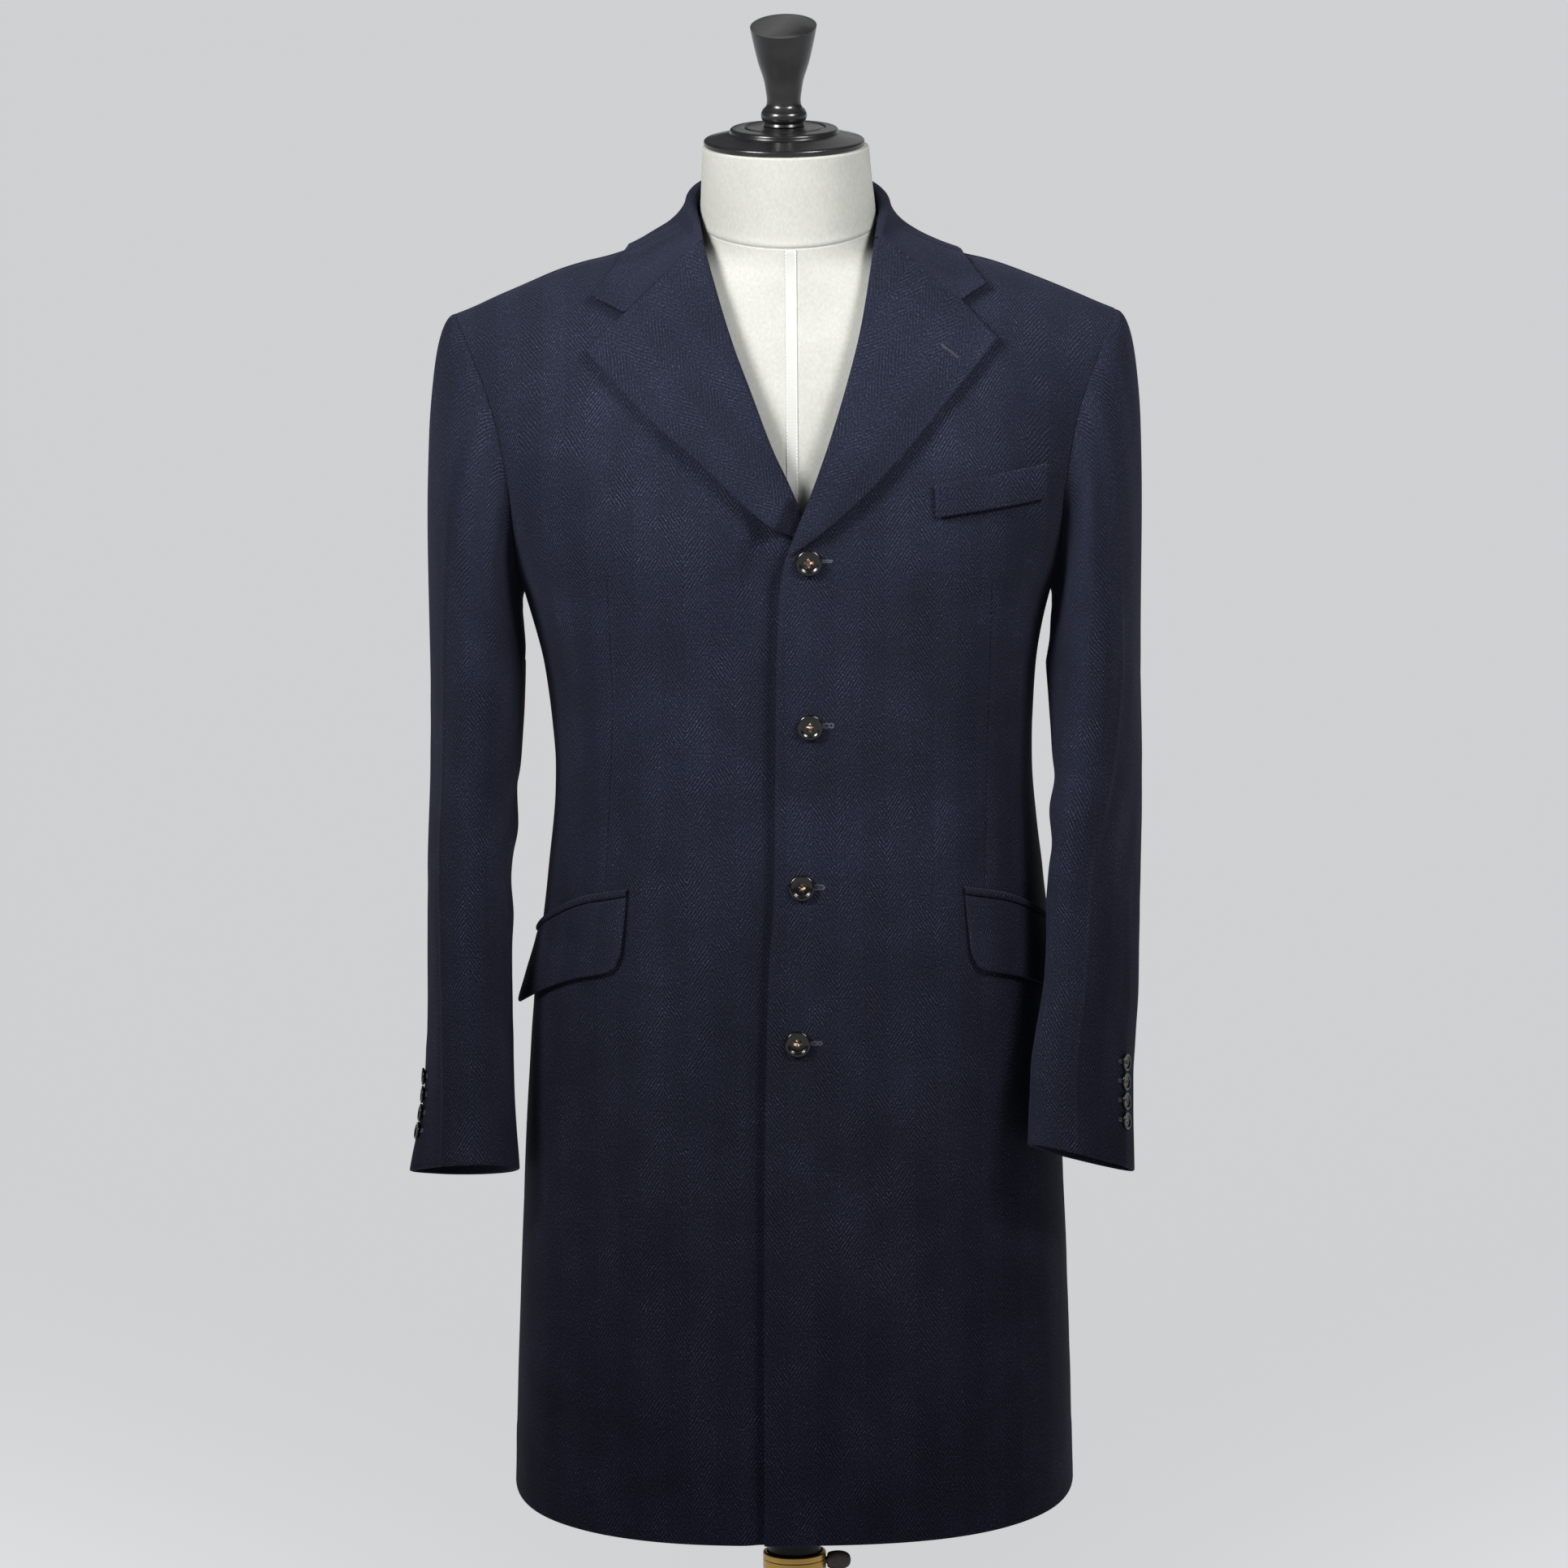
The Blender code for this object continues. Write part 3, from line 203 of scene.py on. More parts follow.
def bodyNormal(level, turn):
    level, turn = np.broadcast_arrays(np.asarray(level, float), np.asarray(turn, float))
    point = bodyPoint(level, turn)
    wide, square = read(bodyRows, "width", level), read(bodyRows, "square", level)
    front, back = depths(level)
    depth = np.maximum(np.where(point[..., 1] > 0, back, front), 0.002)
    x = point[..., 0] - read(bodyRows, "shift", level)
    flat = np.stack([
        np.sign(x) * (np.abs(x) / wide) ** (square - 1) / wide,
        np.sign(point[..., 1]) * (np.abs(point[..., 1]) / depth) ** (square - 1) / depth,
        np.zeros_like(x),
    ], axis=-1)
    low = np.maximum(level - 2e-4, cloth["hem"])
    high = np.minimum(level + 2e-4, cloth["ridge"])
    flat, rise = unit(flat), unit(bodyPoint(high, turn) - bodyPoint(low, turn))
    return unit(flat - rise * np.sum(flat * rise, axis=-1, keepdims=True))


def frontPoint(x, z, lift):  # a point over the fronts at this x and height, and its outward normal
    level = levelAt(x, z)
    turn = turnAt(level, x)
    out = bodyNormal(level, turn)
    return bodyPoint(level, turn) + out * np.expand_dims(lift, -1), out


# meshes

def addUvs(mesh, name, uvs):  # a UV map from one place for each vertex
    corners = np.empty(len(mesh.loops), dtype=np.int32)
    mesh.loops.foreach_get("vertex_index", corners)
    layer = mesh.uv_layers.new(name=name)
    layer.uv.foreach_set("vector", np.asarray(uvs, np.float32)[corners].ravel())


def newObject(name, data, material=None):
    if material:
        data.materials.append(material)
    obj = bpy.data.objects.new(name, data)
    bpy.context.scene.collection.objects.link(obj)
    return obj


def meshPiece(name, points, faces, material, uvs):
    mesh = bpy.data.meshes.new(name)
    mesh.from_pydata(np.asarray(points, float).tolist(), [], np.asarray(faces, int).tolist())
    addUvs(mesh, "weave", uvs)
    mesh.shade_smooth()
    mesh.update()
    return newObject(name, mesh, material)


def edgeRounding(grid, radius, edges):  # 0 away from the edges, 1 on a folded edge, less on a seam
    rows, columns = along(grid, 0), along(grid, 1)
    near = [rows, rows[-1:] - rows, columns, columns[:, -1:] - columns]
    share = np.zeros(grid.shape[:2])
    for distance, wanted in zip(near, edges):
        if wanted:
            share = share + wanted * np.clip(1 - distance / (radius * wanted), 0, 1) ** 2
    return 1 - np.sqrt(np.maximum(1 - np.minimum(share, 1), 0))


def clothPiece(name, outer, outward, weave, material, thick=cloth["thick"], radius=0.0013,
               edges=(1, 1, 1, 1)):
    # a wall of cloth with soft edges between an outer grid and the same grid moved in
    inner = outer - outward * thick
    pull = edgeRounding(outer, radius, edges)[..., None] * outward * thick * 0.49
    outer, inner = outer - pull, inner + pull
    rows, columns = outer.shape[:2]
    count = rows * columns
    index = np.arange(count).reshape(rows, columns)
    quads = np.stack([index[:-1, :-1], index[:-1, 1:], index[1:, 1:], index[1:, :-1]], -1)
    quads = quads.reshape(-1, 4)
    border = np.concatenate([index[0], index[1:, -1], index[-1, -2::-1], index[-2:0:-1, 0]])
    after = np.roll(border, -1)
    rim = np.stack([after, border, border + count, after + count], -1)
    faces = np.concatenate([quads, quads[:, ::-1] + count, rim])
    middle = (rows // 2, columns // 2)
    here = outer[middle]
    side = np.cross(outer[middle[0], middle[1] + 1] - here, outer[middle[0] + 1, middle[1]] - here)
    if np.dot(side, outward[middle]) < 0:
        faces = faces[:, ::-1]
    uvs = np.concatenate([weave.reshape(-1, 2)] * 2)
    points = np.concatenate([outer.reshape(-1, 3), inner.reshape(-1, 3)])
    return meshPiece(name, points, faces, material, uvs)


def softRelief(x, z, rows):  # soft ridges and troughs between two places, from a table
    total = np.zeros(np.broadcast(x, z).shape)
    for x0, z0, x1, z1, wide, high in zip(*rows.values()):
        length = hypot(x1 - x0, z1 - z0)
        way = ((x1 - x0) / length, (z1 - z0) / length)
        share = ((x - x0) * way[0] + (z - z0) * way[1]) / length
        off = -(x - x0) * way[1] + (z - z0) * way[0]
        fade = np.exp(-np.maximum(np.abs(share - 0.5) - 0.25, 0) ** 2 / 0.045)
        total = total + high * fade * bell(off, wide)
    return total


def undulation(x, z, high, size, phase):  # uneven swell of cloth that was never quite flat
    a = np.sin(x / size * 6.1 + 1.3 * np.sin(z / size * 2.3 + phase) + phase * 2.1)
    b = np.sin(z / size * 3.7 + 1.7 * np.sin(x / size * 3.1 - phase) + phase * 0.7)
    c = np.sin((x + z) / size * 9.3 + 2.0 * np.sin((x - z) / size * 4.1) + phase * 3.3)
    return high * (0.45 * a + 0.35 * b + 0.2 * c)


# materials

maths, vector, noise = "ShaderNodeMath", "ShaderNodeVectorMath", "ShaderNodeTexNoise"
plus, times, timesPlus = ({"operation": word} for word in ("ADD", "MULTIPLY", "MULTIPLY_ADD"))


def linear(code):  # sRGB hex to linear
    parts = [int(code[i:i + 2], 16) / 255 for i in (1, 3, 5)]
    return tuple(v / 12.92 if v <= 0.04045 else ((v + 0.055) / 1.055) ** 2.4 for v in parts) + (1.0,)


def feed(node, inputs):  # values or links into a node's inputs, by place or by name
    for key, value in inputs.items():
        socket = node.inputs[key if isinstance(key, int) else key.replace("_", " ")]
        if isinstance(value, bpy.types.NodeSocket):
            node.id_data.links.new(value, socket)
        elif value is not None:
            socket.default_value = value


def addNode(tree, kind, settings, *inputs, **named):  # a node with its settings and links
    node = tree.nodes.new(kind)
    for key, value in settings.items():
        setattr(node, key, value)
    feed(node, dict(enumerate(inputs)) | named)
    return node.outputs[0] if node.outputs else node


def newMaterial(name):
    material = bpy.data.materials.new(name)
    material.use_nodes = True
    tree = material.node_tree
    tree.nodes.clear()
    shader = addNode(tree, "ShaderNodeBsdfPrincipled", {})
    addNode(tree, "ShaderNodeOutputMaterial", {}, shader)
    place = addNode(tree, "ShaderNodeTexCoord", {}).node.outputs["Object"]
    return material, partial(addNode, tree), place


def dress(material, value, stops, relief=None, strength=0, depth=0, **settings):
    # colours along a value, the height of the relief, and what else the shader is given
    put = partial(addNode, material.node_tree)
    shade = put("ShaderNodeValToRGB", {}, value)
    marks = shade.node.color_ramp.elements
    for mark, (at, code) in zip(marks, (stops[0], stops[-1])):
        mark.position, mark.color = at, linear(code)
    for at, code in stops[1:-1]:
        marks.new(at).color = linear(code)
    settings["Base_Color"] = shade
    if relief:
        settings["Normal"] = put("ShaderNodeBump", {}, Strength=strength, Distance=depth, Height=relief)
    feed(material.node_tree.nodes["Principled BSDF"], settings)
    return material


wool = {
    "stripe": 19.0,  # mm, one column of the herringbone
    "pitch": 2.3,  # mm between twill lines
    "steep": 56.0,  # degrees of the lines from the weft
    "tones": ((0.0, "#020205"), (0.3, "#0B0C14"), (0.54, "#151824"), (0.78, "#27293A"), (1.0, "#54596E")),
    "grain": 2.2,  # how much the yarns' flecks show
    "columnShading": 0.025,  # painted light and shade: alternate columns drawn a little lighter and darker, as if they caught the light differently
}


def makeWool(name, twill):  # twill: how much the lines show
    # fulled herringbone coating: soft twill lines that turn back at each column, half hidden
    # under a short nap, specks of lighter fibre that keep it from looking like print, and painted light and
    # shade that makes alternate columns a little lighter and darker
    material, put, _ = newMaterial(name)
    stripe, grain, steep = wool["stripe"], wool["grain"], radians(wool["steep"])
    mm = put(vector, {"operation": "SCALE"}, put("ShaderNodeUVMap", {"uv_map": "weave"}), Scale=1000.0)
    bent = mm
    for scale, sway in ((0.05, 3.0), (0.5, 1.1)):  # the yarns never run quite straight
        drift = put(noise, {}, Vector=mm, Scale=scale, Detail=2.0).node.outputs["Color"]
        bent = put(vector, timesPlus, drift, (sway, sway, 0), bent)
    axes = put("ShaderNodeSeparateXYZ", {}, bent).node.outputs
    column = put(maths, times, axes[0], 1 / stripe)
    cell = put(maths, {"operation": "FLOOR"}, column)
    inside = put(maths, {"operation": "SUBTRACT"}, column, cell)
    odd = put(maths, {"operation": "FLOORED_MODULO"}, cell, 2.0)
    way = put(maths, timesPlus, odd, -2.0, 1.0)
    step = wool["pitch"] / cos(steep)
    rise = put(maths, times, put(maths, times, inside, way), -stripe * tan(steep) / step)
    lines = put(maths, timesPlus, axes[1], 1 / step, rise)
    lines = put(maths, times, put(maths, timesPlus, odd, 0.5, lines), 2 * pi)
    # the nap hides the lines in places
    nap = put(noise, {}, Vector=mm, Scale=0.035, Detail=3.0, Roughness=0.55)
    shown = put("ShaderNodeMapRange", {}, nap, 0.36, 0.62, 0.25, 1.0)
    wave = put(maths, times, put(maths, {"operation": "SINE"}, lines), shown)
    yarn = put(vector, times, mm, (1.2, 0.8, 1.0))
    fleck = put(noise, {}, Vector=yarn, Scale=0.8, Detail=4.0, Roughness=0.85)
    cloud = put(noise, {}, Vector=mm, Scale=0.012, Detail=3.0, Roughness=0.6)
    tone = 0.5 - grain * 0.5
    # the last term is painted light and shade: alternate columns a little lighter and darker
    for value, share in ((wave, twill * 0.5), (fleck, grain), (cloud, 0.3), (way, wool["columnShading"] * 0.5)):
        tone = put(maths, timesPlus, value, share, tone)
    tone = put(maths, plus, tone, -0.15)
    relief = put(maths, timesPlus, wave, 0.6, fleck)
    return dress(material, tone, wool["tones"], relief, 0.3, 0.00025, Roughness=0.92,
                 Specular_IOR_Level=0.12, Sheen_Weight=0.05, Sheen_Roughness=0.5,
                 Sheen_Tint=linear("#8C95B8"))


def makeCanvas(name):
    # unbleached cotton canvas over padding: plain weave, a few slubs, faint soiling
    material, put, place = newMaterial(name)
    thread = 0.9  # mm
    mm = put(vector, {"operation": "SCALE"}, place, Scale=1000.0)
    axes = put("ShaderNodeSeparateXYZ", {}, mm).node.outputs
    waves = [put(maths, {"operation": "SINE"}, put(maths, times, axes[axis], 2 * pi / thread))
             for axis in (0, 2)]
    slub = put(noise, {}, Vector=put(vector, times, mm, (1.0, 1.0, 0.5)), Scale=0.55, Detail=3.0)
    cloud = put(noise, {}, Vector=mm, Scale=0.02, Detail=3.0)
    tone = put(maths, times, put(maths, plus, slub, cloud), 0.5)
    relief = put(maths, timesPlus, put(maths, times, *waves), 0.4, slub)
    return dress(material, tone, ((0.3, "#90908A"), (0.72, "#A2A29D")), relief, 0.35, 0.0003,
                 Roughness=0.82, Specular_IOR_Level=0.25)


def makeHorn(name):
    # polished buffalo horn: almost black, with brown and cream streaks round the middle
    material, put, place = newMaterial(name)
    away = put(vector, {"operation": "LENGTH"}, put("ShaderNodeUVMap", {"uv_map": "face"}))
    away = away.node.outputs[1]
    streak = put(noise, {}, Vector=place, Scale=420.0, Detail=3.0, Distortion=1.2)
    heart = put("ShaderNodeMapRange", {}, away, 0.2, 0.52, 0.16, -0.16)
    scratch = put(noise, {}, Vector=place, Scale=1500.0, Detail=2.0)
    return dress(material, put(maths, plus, streak, heart), (
        (0.5, "#070606"), (0.58, "#2A1A13"), (0.66, "#7A5138"), (0.76, "#D9C3A6")), IOR=1.5,
        Roughness=put("ShaderNodeMapRange", {}, scratch, To_Min=0.12, To_Max=0.3),
        Coat_Weight=0.15, Coat_Roughness=0.08)


def makeLacquer(name, tone, rough, coat, gloss):
    # black lacquered wood: a hard smooth film, with the turner's rings just readable in its gloss
    material, put, place = newMaterial(name)
    wear = put(noise, {}, Vector=place, Scale=60.0, Detail=4.0)
    height = put("ShaderNodeSeparateXYZ", {}, place).node.outputs[2]
    rings = put(maths, {"operation": "SINE"}, put(maths, times, height, 2 * pi / 0.0011))
    return dress(material, wear, ((0.35, tone), (0.8, "#1E1E1F")), rings, 0.05, 0.0002,
                 Roughness=put("ShaderNodeMapRange", {}, wear, To_Min=rough, To_Max=rough + 0.14),
                 Specular_IOR_Level=gloss, Coat_Weight=coat, Coat_Roughness=0.12)


def makeBrass(name):
    # drawn brass tube, handled: fine lines along it, warm brown where it has dulled
    material, put, place = newMaterial(name)
    drawn = put(vector, times, place, (1400.0, 1400.0, 12.0))
    lines = put(noise, {}, Vector=drawn, Scale=1.0, Detail=2.0)
    cloud = put(noise, {}, Vector=place, Scale=35.0, Detail=4.0)
    return dress(material, cloud, ((0.3, "#9E7C46"), (0.75, "#BC9954")), lines, 0.12, 0.0002,
                 Metallic=1.0, Roughness=put("ShaderNodeMapRange", {}, cloud, To_Min=0.42, To_Max=0.26))


def makeGrained(name, scale, detail, dark, pale, strength=0, depth=0, **settings):
    # one fine grain gives the colour's change and the relief
    material, put, place = newMaterial(name)
    grain = put(noise, {}, Vector=place, Scale=scale, Detail=detail)
    return dress(material, grain, ((0, dark), (1, pale)), strength and grain, strength, depth, **settings)


bodyWool = makeWool("herringboneWool", 0.32)
facingWool = makeWool("herringboneWoolFacing", 0.2)
canvasCloth = makeCanvas("cottonCanvas")
horn = makeHorn("polishedHorn")
lacquer = makeLacquer("blackLacqueredWood", "#111112", 0.22, 0.25, 0.35)
poleLacquer = makeLacquer("blackLacqueredPole", "#0B0B0D", 0.34, 0.0, 0.2)
brass = makeBrass("drawnBrass")
# bleached cotton tape: whiter and closer woven than the canvas it is sewn to
tapeCloth = makeGrained(
    "bleachedCottonTape", 900.0, 2.0, "#989894", "#A3A3A0", 0.3, 0.0002, Roughness=0.8)
# black paint baked on metal: cast metal shows a fine pitted skin under it, sheet and rod less
castIron = makeGrained(
    "enamelledCastIron", 700.0, 5.0, "#1B1716", "#2E2825", 0.25, 0.0003, Roughness=0.5)
steelPaint = makeGrained(
    "enamelledSteel", 300.0, 5.0, "#2A1E18", "#40302A", 0.25, 0.0003, Roughness=0.32)
# twisted silk and cotton threads: two strands, one a little paler
silkThread, buttonTwist, cottonThread = (
    makeGrained(name, 2600.0, 2.0, dark, pale, Roughness=0.6, Sheen_Weight=0.2) for name, dark, pale in (
        ("navySilkThread", "#242734", "#434757"), ("blackButtonTwist", "#0E0F16", "#1C1E2A"),
        ("whiteCottonThread", "#C9CAC6", "#EDEEEA")))
print("materials made")


# fronts and backs

nearEdge = numbers("0 .0002 .0006 .0012 .002 .0035 .005 .006 .007 .0085")[0]  # close to an edge


def panelGrid(levels, first, last, marks, spacing):
    # turns and cross distances of a panel's points; marks are x places that a column follows
    cluster = numbers("-.006 -.003 -.0015 -.0008 -.0004 0 .0004 .0008 .0015 .003 .006")[0]
    span = first[:, None] + (last - first)[:, None] * np.linspace(0, 1, 240)
    fine = bodyPoint(levels[:, None], span)
    length = along(fine, 1)
    turns, places, offs = [], [], []
    counts = None
    for i, level in enumerate(levels):
        total = length[i, -1]
        stops = [cloth["free"]]
        for mark in marks:
            turn = turnAt(level, mark(level))
            stops.append(np.interp(abs(turn - first[i]), np.abs(span[i] - first[i]), length[i]))
        stops.append(total - cloth["free"])
        if counts is None:
            counts = [max(int((b - a) / spacing), 3) for a, b in zip(stops[:-1], stops[1:])]
        row = [nearEdge]
        for k, count in enumerate(counts):
            low = stops[k] + (cloth["close"] if k else 0)
            high = stops[k + 1] - (cloth["close"] if k < len(marks) else 0)
            between = np.linspace(low, high, count + 1)
            row.append(between[1 if k else 0:-1 if k < len(marks) else None])
            if k < len(marks):
                row.append(stops[k + 1] + cluster)
        row.append(total - nearEdge[::-1])
        row = np.concatenate(row)
        turns.append(np.interp(row, length[i], span[i]))
        places.append(row)
        offs.append([row - stop for stop in stops[1:-1]])
    return np.array(turns), np.array(places), np.array(offs)


def panelLevels(spacing, archRows, extra):
    hem, arch, ridge = cloth["hem"], cloth["arch"], cloth["ridge"]
    high = arch + (ridge - arch) * np.sin(np.linspace(0, pi / 2, archRows))
    low = np.arange(hem + 0.0045, arch, spacing)
    return np.unique(np.concatenate([hem + nearEdge[:5], low, high, extra]))


def bodyPanel(name, levels, first, last, centre, marks, relief, tuck=None, spacing=0.0045):
    turns, places, offs = panelGrid(levels, first, last, marks, spacing)
    rows = np.broadcast_to(levels[:, None], turns.shape)
    points, out = bodyPoint(rows, turns), bodyNormal(rows, turns)
    side = 1 if np.mean(last - first) > 0 else -1
    side, fold = (side, 1.0) if abs(centre) < 90 else (-side, 0.6)
    u = points[:, :1, 0] + side * places
    drawn = np.concatenate([np.zeros((1, turns.shape[1])), np.cumsum(
        np.linalg.norm(np.diff(points[..., 1:], axis=0), axis=2), axis=0)])
    v = drawn - drawn[np.argmin(np.abs(levels - cloth["waist"]))]
    raised = relief(points, rows, places, offs)
    if tuck:
        raised = raised - tuck(rows, points[..., 0])
    points = points + out * raised[..., None]
    return clothPiece(name, points, out, np.stack([u, v], -1), bodyWool, edges=(1, 0.3, fold, 0.35))


def underLeftFront(level, x):
    return ramp(x - read(leftEdgeRows, "x", level), -0.018, -0.007)


def frontTuck(level, x):
    below = ramp(x, -0.04, -0.02) * (1 - ramp(level, 1.3, 1.35))
    lapel = underLeftFront(level, x + 0.018) * ramp(level, 1.2, 1.26)
    return (cloth["thick"] + cloth["lap"]) * (below + lapel)


dart = {
    "left": ((1.0121, 1.13, 1.2482), (0.1482, 0.15, 0.1534)),  # heights and x places
    "right": ((1.0142, 1.155, 1.2562), (-0.1396, -0.1315, -0.1352)),
    "dips": ((0.001, 0.0007), (0.0007, 0.009)),  # the seam, and the soft hollow on both sides of it
}
frontFolds = table("""x0 z0 x1 z1 wide high
.15 1.25 .125 1.12 .02 .0012
.178 1.23 .162 1.13 .012 -.0014
-.15 1.255 -.118 1.11 .02 .0012
-.18 1.23 -.165 1.12 .012 -.0015
.012 .905 .07 .93 .012 .001
.015 .88 .08 .86 .016 -.001
-.02 .905 -.08 .935 .018 .0008
.03 1.022 .1 1.045 .014 .0007
-.03 1.03 -.1 1.055 .014 .0008
.03 1.14 .09 1.165 .014 .0006
-.03 1.15 -.09 1.18 .014 .0006
.095 .9 .105 .56 .03 .0022
.048 .8 .052 .54 .02 -.0016
.15 .86 .165 .54 .022 -.002
-.095 .88 -.108 .55 .03 .0022
-.052 .78 -.056 .54 .022 -.0015
-.15 .88 -.162 .54 .022 -.0022
.09 1.39 .17 1.33 .02 .0012
-.09 1.385 -.17 1.32 .02 .0012""")


def dartLine(word):
    heights, places = (np.array(v) for v in dart[word])
    return lambda level: float(np.interp(level + 0.004, heights, places))


def pressedEdge(places):  # the seam turned in along an edge
    return 0.0005 * bell(places - 0.0035, 0.0028)


def hemRidge(level):  # the turned-up hem shows as a faint step
    return 0.0003 * (1 - ramp(level, cloth["hem"] + 0.04, cloth["hem"] + 0.044))


def frontRelief(word):
    low, _, top = dart[word][0]

    def relief(points, rows, places, offs):
        x, z = points[..., 0], points[..., 2]
        phase = 0.7 if word == "left" else 2.4
        raised = softRelief(x, z, frontFolds) + undulation(x, z, *cloth["swell"], phase)
        off = offs[:, 0]
        sewn = ramp(z, low - 0.003, low + 0.002) * (1 - ramp(z, top - 0.006, top))
        for deep, wide in dart["dips"]:
            raised = raised - deep * sewn * bell(off, wide)
        if word == "left":
            high, wide = cloth["edgeSwell"]
            edge = high * bell(places, wide) + pressedEdge(places)
        else:
            deep, wide = cloth["edgeTrough"]
            edge = -deep * bell(x - read(leftEdgeRows, "x", rows) + 0.003, wide)
        edge = edge * (1 - ramp(rows, *cloth["edgeEnds"]))
        return raised + edge + hemRidge(rows)

    return relief


def makeFronts():
    levels = panelLevels(0.0045, 46, (1.278, 1.284))
    out = read(armholeRows, "front", levels)
    roll = 0.0036 * ramp(levels, 1.28, 1.312)  # the edge starts inside the lapel's fold
    left = turnAt(levels, read(leftEdgeRows, "x", levels) + roll)
    right = turnAt(levels, read(rightEdgeRows, "x", levels) - roll)
    fronts = [
        bodyPanel("frontLeftCloth", levels, left, out, 0, [dartLine("left")], frontRelief("left")),
        bodyPanel("frontRightCloth", levels, right, -out, 0, [dartLine("right")], frontRelief("right"),
                  frontTuck),
    ]
    print("fronts made")
    return fronts


backFolds = table("""x0 z0 x1 z1 wide high
.09 .88 .105 .55 .03 .0026
.045 .82 .05 .54 .02 -.0018
.15 .86 .17 .54 .024 -.0022
-.095 .88 -.11 .55 .03 .0024
-.05 .82 -.055 .54 .02 -.0018
-.15 .86 -.17 .54 .024 -.0022
.15 1.33 .135 1.18 .02 .0022
.175 1.3 .165 1.18 .013 -.0018
-.15 1.33 -.135 1.18 .02 .0022
-.175 1.3 -.165 1.18 .013 -.0018
.03 1.11 .13 1.09 .016 -.0014
-.03 1.105 -.13 1.09 .016 -.0014
.02 1.14 .12 1.13 .018 .001
-.02 1.145 -.12 1.125 .018 .001
.06 1.44 .15 1.4 .022 .001
-.06 1.44 -.15 1.4 .022 .001""")


def backRelief(phase):
    def relief(points, rows, places, offs):
        x, z = points[..., 0], points[..., 2]
        high = softRelief(x, z, backFolds) + undulation(x, z, 0.0005, 0.12, phase)
        edge = pressedEdge(places) * (1 - ramp(rows, 0.84, 0.86))
        return high + edge + hemRidge(rows)

    return relief


def ventTuck(level, x):
    step, top = cloth["thick"] + cloth["lap"] + 0.0003, cloth["ventTop"]
    return step * ramp(x, -0.03, -0.008) * (1 - ramp(level, top, top + 0.03))


def makeBacks():
    top = cloth["ventTop"]
    levels = panelLevels(0.005, 38, (top - 0.03, top, 1.4795, 1.4835, 1.487))
    out = 180 - read(armholeRows, "back", levels)
    left = turnAt(levels, read(backNeckRows, "left", levels), True)
    lap = cloth["ventLap"] * (1 - ramp(levels, top - 0.03, top))
    right = np.where(lap > 0.001, lap, read(backNeckRows, "right", levels))
    right = turnAt(levels, right, True) - 360
    backs = [
        bodyPanel("backLeftCloth", levels, left, out, 180, [], backRelief(1.1), spacing=0.0048),
        bodyPanel("backRightCloth", levels, right, -out, 180, [], backRelief(4.2), ventTuck, 0.0048),
    ]
    print("backs made")
    return backs


# sleeves

sleeveRows = {"left": table("""height x y thin deep turn fore aside flare
.803 .219 -.115 .032 .058 32 .284 .22 0
.86 .2201 -.096 .03 .057 32 .26 .15 0
.935 .2282 -.075 .0265 .056 30 .22 .08 0
1.01 .2309 -.045 .027 .063 24 .16 .03 0
1.09 .2337 -.022 .0318 .072 12 .08 0 0
1.165 .2315 -.007 .0358 .0815 4 0 0 0"""),
"right": table("""height x y thin deep turn fore aside flare
.784 .244 -.058 .0368 .056 6 .296 0 .009
.85 .2437 -.043 .033 .06 4 .26 0 .001
.93 .2435 -.026 .0322 .0665 2 .2 0 0
1.01 .2425 -.011 .0325 .0725 0 .12 0 0
1.09 .2375 -.004 .0345 .079 0 .05 0 0
1.165 .2345 -.002 .037 .0835 0 0 0 0""")}
sides = (("left", 1), ("right", -1))
sleeve = {
    "long": 0.64,
    "hindSeam": -14.0,  # degrees round the sleeve, behind its outer side
    "foreSeam": 152.0,
    "head": 0.3,  # share of the length that eases into the armhole
    "crease": 47.0,  # pressed ridge down the front of the outer side
    "creaseHigh": 0.0008,
    "creaseWide": 3.2,
    "ventHigh": 0.0013,
    "ventWide": 16,
    "swell": (0.0004, 0.1),
    "ventLength": 0.105,
    "degree": 0.00087,  # metres to one degree round the sleeve, and round its cuff
    "cuffDegree": 0.00085,
}
# at a share of the length and an angle: half-length, half-angle, height, slant
sleeveFolds = {"left": numbers(""".47 165 .016 42 -.002 .05, .52 170 .015 45 .0018 .05
.57 160 .016 48 -.002 .04, .63 165 .018 45 .0014 -.03, .26 205 .03 40 -.0022 .1
.36 60 .08 22 .001 0, .5 320 .06 30 .0012 0, .17 20 .05 26 .0008 0"""),
"right": numbers(""".48 165 .016 42 -.002 -.05, .535 170 .015 45 .0018 -.04
.59 160 .018 46 -.0018 .03, .65 168 .018 40 .0012 .02, .26 200 .03 40 -.0022 -.1
.38 65 .08 24 .001 0, .52 318 .06 30 .0012 0, .18 25 .05 26 .0008 0""")}


def armholeLoop(side, around):  # 0 at the shoulder, 90 in front, 180 at the armpit, 270 behind
    levels = np.linspace(cloth["armpit"], cloth["ridge"], 240)
    loops = []
    for column, centre, way in (("front", 0, 1), ("back", 180, -1)):
        turns = centre + way * read(armholeRows, column, levels)
        points = bodyPoint(levels[::-1], turns[::-1])
        length = np.concatenate([[0], np.cumsum(np.linalg.norm(np.diff(points, axis=0), axis=1))])
        loops.append((length / length[-1], points))
    found = []
    for angle in np.asarray(around) % 360:
        share, points = loops[0] if angle <= 180 else loops[1]
        part = angle / 180 if angle <= 180 else (360 - angle) / 180
        found.append([np.interp(part, share, points[:, k]) for k in range(3)])
    return np.array(found) * (side, 1, 1)


